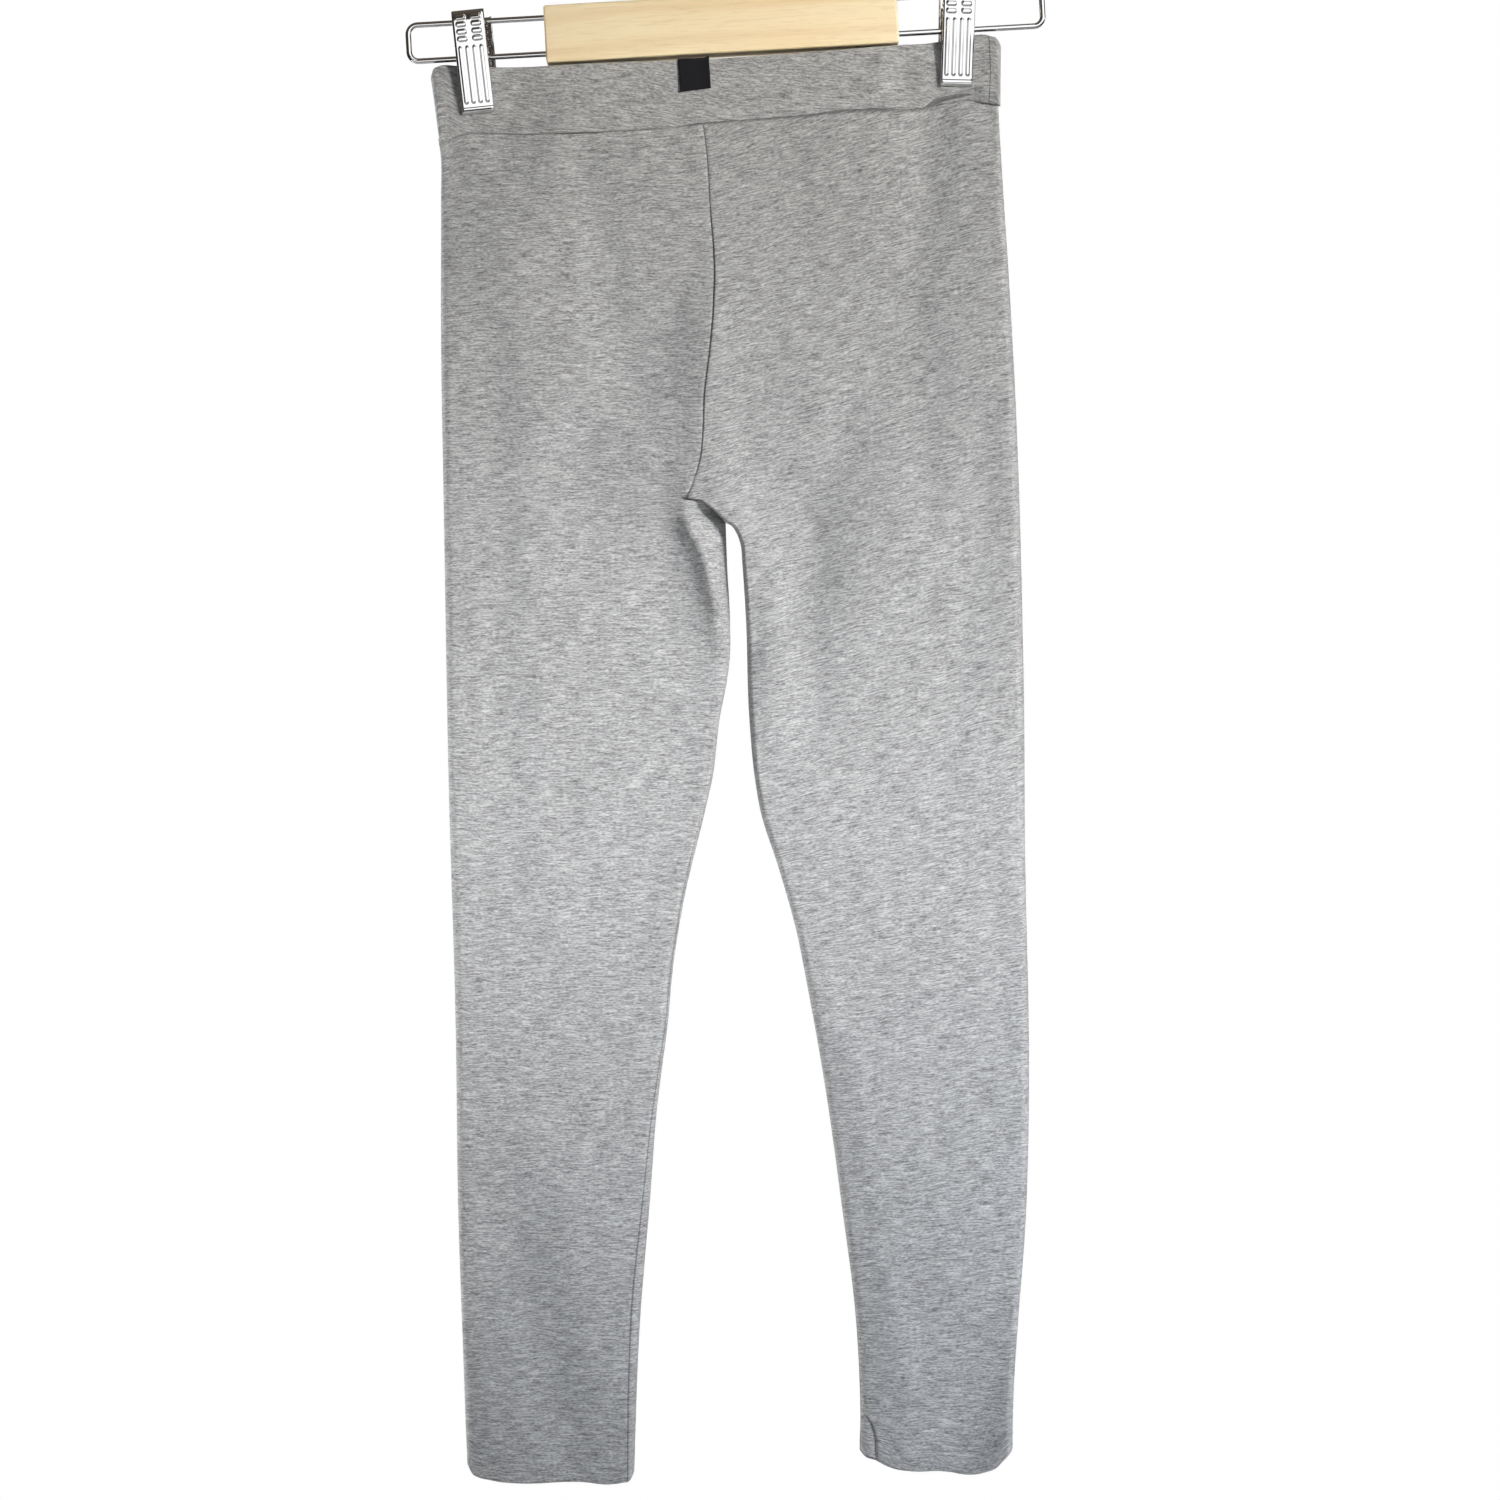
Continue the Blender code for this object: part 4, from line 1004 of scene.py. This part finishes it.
def jawShape():
    # one stamped plate, its sides turned in and its ends curled
    flangeCount, cornerCount, plateCount = jaw["columns"]
    half, corner = jaw["halfWidth"], jaw["corner"]
    angles = np.linspace(0, math.pi / 2, cornerCount + 1)
    halfX = [half] * flangeCount + list(half - corner * (1 - np.cos(angles)))
    halfIn = [corner] * flangeCount + list(corner * (1 - np.sin(angles)))
    halfFlange = list(np.linspace(1, 0, flangeCount + 1)[:-1]) + [0] * (cornerCount + 1)
    flat = np.linspace(half - corner, corner - half, plateCount + 1)[1:-1]
    x = np.array(halfX + list(flat) + [-value for value in halfX[::-1]])
    behind = np.array(halfIn + [0] * len(flat) + halfIn[::-1])
    flange = np.array(halfFlange + [0] * len(flat) + halfFlange[::-1])
    path = np.array(jaw["path"])
    chord = np.concatenate(([0], np.cumsum(np.hypot(*np.diff(path, axis=0).T))))
    rows = int(chord[-1] / jaw["step"])
    at = np.linspace(0, chord[-1], rows + 1)
    up = curveAt(np.stack((chord, path[:, 0]), axis=1), at)
    away = curveAt(np.stack((chord, path[:, 1]), axis=1), at)
    slopeUp, slopeAway = np.gradient(up, at), np.gradient(away, at)
    size = np.hypot(slopeUp, slopeAway)
    onPlate = (np.abs(x) < half - corner)[None, :]
    high = np.where(onPlate, embossed(x[None, :], up[:, None]), 0.0)
    deep = behind[None, :] + flange[None, :] * curveAt(jaw["flange"], up)[:, None]
    out = away[:, None] - deep + high * (slopeUp / size)[:, None]
    rise = up[:, None] - high * (slopeAway / size)[:, None]
    bm, _ = layGrid(len(x) - 1, rows, np.stack((np.broadcast_to(x, out.shape), -out, rise), axis=-1))
    bmesh.ops.recalc_face_normals(bm, faces=bm.faces)
    middle = min(bm.faces, key=lambda face: (face.calc_center_median() - Vector((0, -0.009, 0.018))).length)
    if middle.normal.y > 0:
        bmesh.ops.reverse_faces(bm, faces=bm.faces)
    return bm


def clipPieces(side):
    spec = hanger["clips"][side]
    lean = math.radians(spec["lean"])
    for turned, word in ((0, "front"), (1, "back")):
        along = spec["lipAlong"] + turned * spec["backShift"]
        place = onHanger(along, hanger["lipDown"]) @ Matrix.Rotation(-lean, 4, "Y")
        place = place @ Matrix.Rotation(math.pi * turned, 4, "Z")
        bm = jawShape()
        bmesh.ops.transform(bm, matrix=place, verts=bm.verts)
        piece = finishPiece(word + "Jaw" + side.capitalize(), bm, "chrome", [side + "_clip_" + word + "_jaw"])
        wallModifier(piece, jaw["plate"])
    springPiece(side, spec["lipAlong"] - math.tan(lean) * (hanger["lipDown"] - hanger["wireDown"][1]))


spring = {"length": 13.0, "wire": 0.55, "radius": 2.75, "turns": 12, "steps": 18, "sides": 8}


def springPiece(side, along):
    # a round wire wound about the lower wire of the hanger
    bm = bmesh.new()
    start = Matrix.Translation(Vector((-spring["length"] / 2, -spring["radius"], 0)) * mm)
    made = bmesh.ops.create_circle(bm, cap_ends=False, segments=spring["sides"], radius=spring["wire"] * mm,
                                   matrix=start)  # fmt: skip
    edges = list({edge for vert in made["verts"] for edge in vert.link_edges})
    steps = spring["turns"] * spring["steps"]
    step = (spring["length"] * mm / steps, 0, 0)
    bmesh.ops.spin(bm, geom=made["verts"] + edges, cent=(0, 0, 0), axis=(1, 0, 0), dvec=step,
                   angle=math.tau * spring["turns"], steps=steps, use_merge=False)  # fmt: skip
    bmesh.ops.holes_fill(bm, edges=[edge for edge in bm.edges if edge.is_boundary], sides=0)

    def placeInList(part):
        places = [vert.index for vert in part.verts]
        return min(places) * len(bm.verts) + max(places)

    # the spin lists its edges and faces in another order each run, so they are sorted
    bm.verts.index_update()
    bm.edges.sort(key=placeInList)
    bm.faces.sort(key=placeInList)
    bmesh.ops.transform(bm, matrix=onHanger(along, hanger["wireDown"][1]), verts=bm.verts)
    bmesh.ops.recalc_face_normals(bm, faces=bm.faces)
    return finishPiece("spring" + side.capitalize(), bm, "chrome", [side + "_clip_spring"])


for side in ("right", "left"):
    clipPieces(side)
print("clips made")


# ---- camera, light and floor

view = {"distance": 2.0, "middle": (0.0100, -0.4623), "roll": math.radians(1.2), "width": 0.7965}


def makeCamera():
    data = bpy.data.cameras.new("camera")
    data.sensor_fit = "HORIZONTAL"
    data.angle = 2 * math.atan(view["width"] / 2 / view["distance"])
    camera = addObject("camera", data)
    c, s = math.cos(view["roll"]), math.sin(view["roll"])
    turn = Matrix(((c, s, 0), (0, 0, -1), (-s, c, 0)))
    camera.matrix_world = Matrix.Translation((view["middle"][0], -view["distance"], view["middle"][1])) @ turn.to_4x4()
    scene.camera = camera


def areaLight(name, place, target, size, spread, power, colour):
    data = bpy.data.lights.new(name, "AREA")
    data.shape = "RECTANGLE"
    data.size, data.size_y = size
    data.spread = math.radians(spread)
    data.energy = power
    data.color = colour
    lamp = addObject(name, data)
    lamp.location = place
    lamp.rotation_euler = (Vector(target) - Vector(place)).to_track_quat("-Z", "Y").to_euler()
    lamp.visible_camera = False
    lamp.visible_glossy = False


lights = (
    # name, place, target, size, spread, power, colour
    ("keyTop", (2.42, -2.01, 0.525), (0.02, 0.0, -0.1), (0.9, 0.9), 22, 1.27, (1.16, 1.0, 0.74)),
    ("keyMiddle", (2.28, -2.17, 0.165), (0.12, 0.0, -0.42), (0.9, 0.9), 14, 2.25, (0.965, 1.0, 1.07)),
    ("keyLow", (2.3, -2.15, -0.15), (0.24, 0.0, -0.8), (0.3, 0.3), 10, 0.214, (0.93, 0.99, 1.09)),
    ("frontBar", (0.03, -0.36, -0.5), (0.03, 0.0, -0.5), (0.9, 0.06), 100, 0.57, (1.0, 1.0, 1.0)),
    ("backLeft", (-2.5, 0.7, -0.45), (0.0, 0.0, -0.45), (1.2, 1.2), 180, 80.0, (1.0, 1.0, 1.0)),
    ("back", (0.3, 2.6, -0.4), (0.0, 0.0, -0.45), (1.5, 1.5), 180, 30.0, (1.0, 1.0, 1.0)),
    ("bounce", (0.06, -1.0, -0.55), (0.0, 0.0, -0.055), (0.3, 0.05), 6, 0.0065, (1.0, 0.96, 0.88)),
    ("under", (0.0, -0.16, -1.2), (0.0, -0.01, -0.08), (0.26, 0.02), 3, 0.011, (1.0, 0.95, 0.8)),
)


def makeWorld():
    # the camera sees a white backdrop, polished metal a bright window in a darker room, cloth an even dim light
    world = bpy.data.worlds.new("studio")
    scene.world = world
    world.use_nodes = True
    tree = world.node_tree
    toward = split(tree, nodeIn(tree, "ShaderNodeTexCoord").outputs["Generated"])
    ahead = calc(tree, "MAXIMUM", calc(tree, "MULTIPLY", toward[1], -1.0), 0.05)
    aside, above = calc(tree, "DIVIDE", toward[0], ahead), calc(tree, "DIVIDE", toward[2], ahead)
    # bright below eye level from a little left on, and above it only to the right
    lower = calc(tree, "MULTIPLY", mapped(tree, aside, -0.5, -0.38), mapped(tree, above, 0.03, -0.03))
    upper = calc(tree, "MULTIPLY", mapped(tree, aside, -0.02, 0.03), mapped(tree, above, 1.3, 0.9))
    window = calc(tree, "MULTIPLY", calc(tree, "MAXIMUM", lower, upper), mapped(tree, above, -0.5, -0.42))
    room = mixColour(tree, mapped(tree, toward[2], -0.2, 1.0), (0.025, 0.022, 0.018, 1), (0.11, 0.092, 0.07, 1))
    mirrored = mixColour(tree, window, room, (1.35, 1.35, 1.34, 1))
    rays = nodeIn(tree, "ShaderNodeLightPath").outputs
    lit = mixColour(tree, rays["Is Glossy Ray"], (0.09, 0.09, 0.09, 1), mirrored)
    seen = mixColour(tree, rays["Is Camera Ray"], lit, (1.0, 1.0, 1.0, 1))
    fill(tree, tree.nodes["Background"], (("Color", seen), ("Strength", 1.0)))


def makeFloor():
    bm = bmesh.new()
    bmesh.ops.create_grid(bm, x_segments=1, y_segments=1, size=1.6)
    bmesh.ops.translate(bm, vec=(0, -0.4, -1.25), verts=bm.verts)
    mesh = bpy.data.meshes.new("floor")
    bm.to_mesh(mesh)
    bm.free()
    made, tree, shader = newMaterial("pale floor")
    glow = calc(tree, "MULTIPLY", nodeIn(tree, "ShaderNodeLightPath").outputs["Is Camera Ray"], 0.45)
    fill(tree, shader, (("Base Color", (0.8, 0.8, 0.79, 1)), ("Roughness", 0.9),
                        ("Emission Color", (1.0, 1.0, 0.99, 1)), ("Emission Strength", glow)))  # fmt: skip
    mesh.materials.append(made)
    floor = addObject("floor", mesh)


makeCamera()
makeWorld()
makeFloor()
for lamp in lights:
    areaLight(*lamp)
scene.view_settings.view_transform = "Standard"
print("camera, light and floor made")
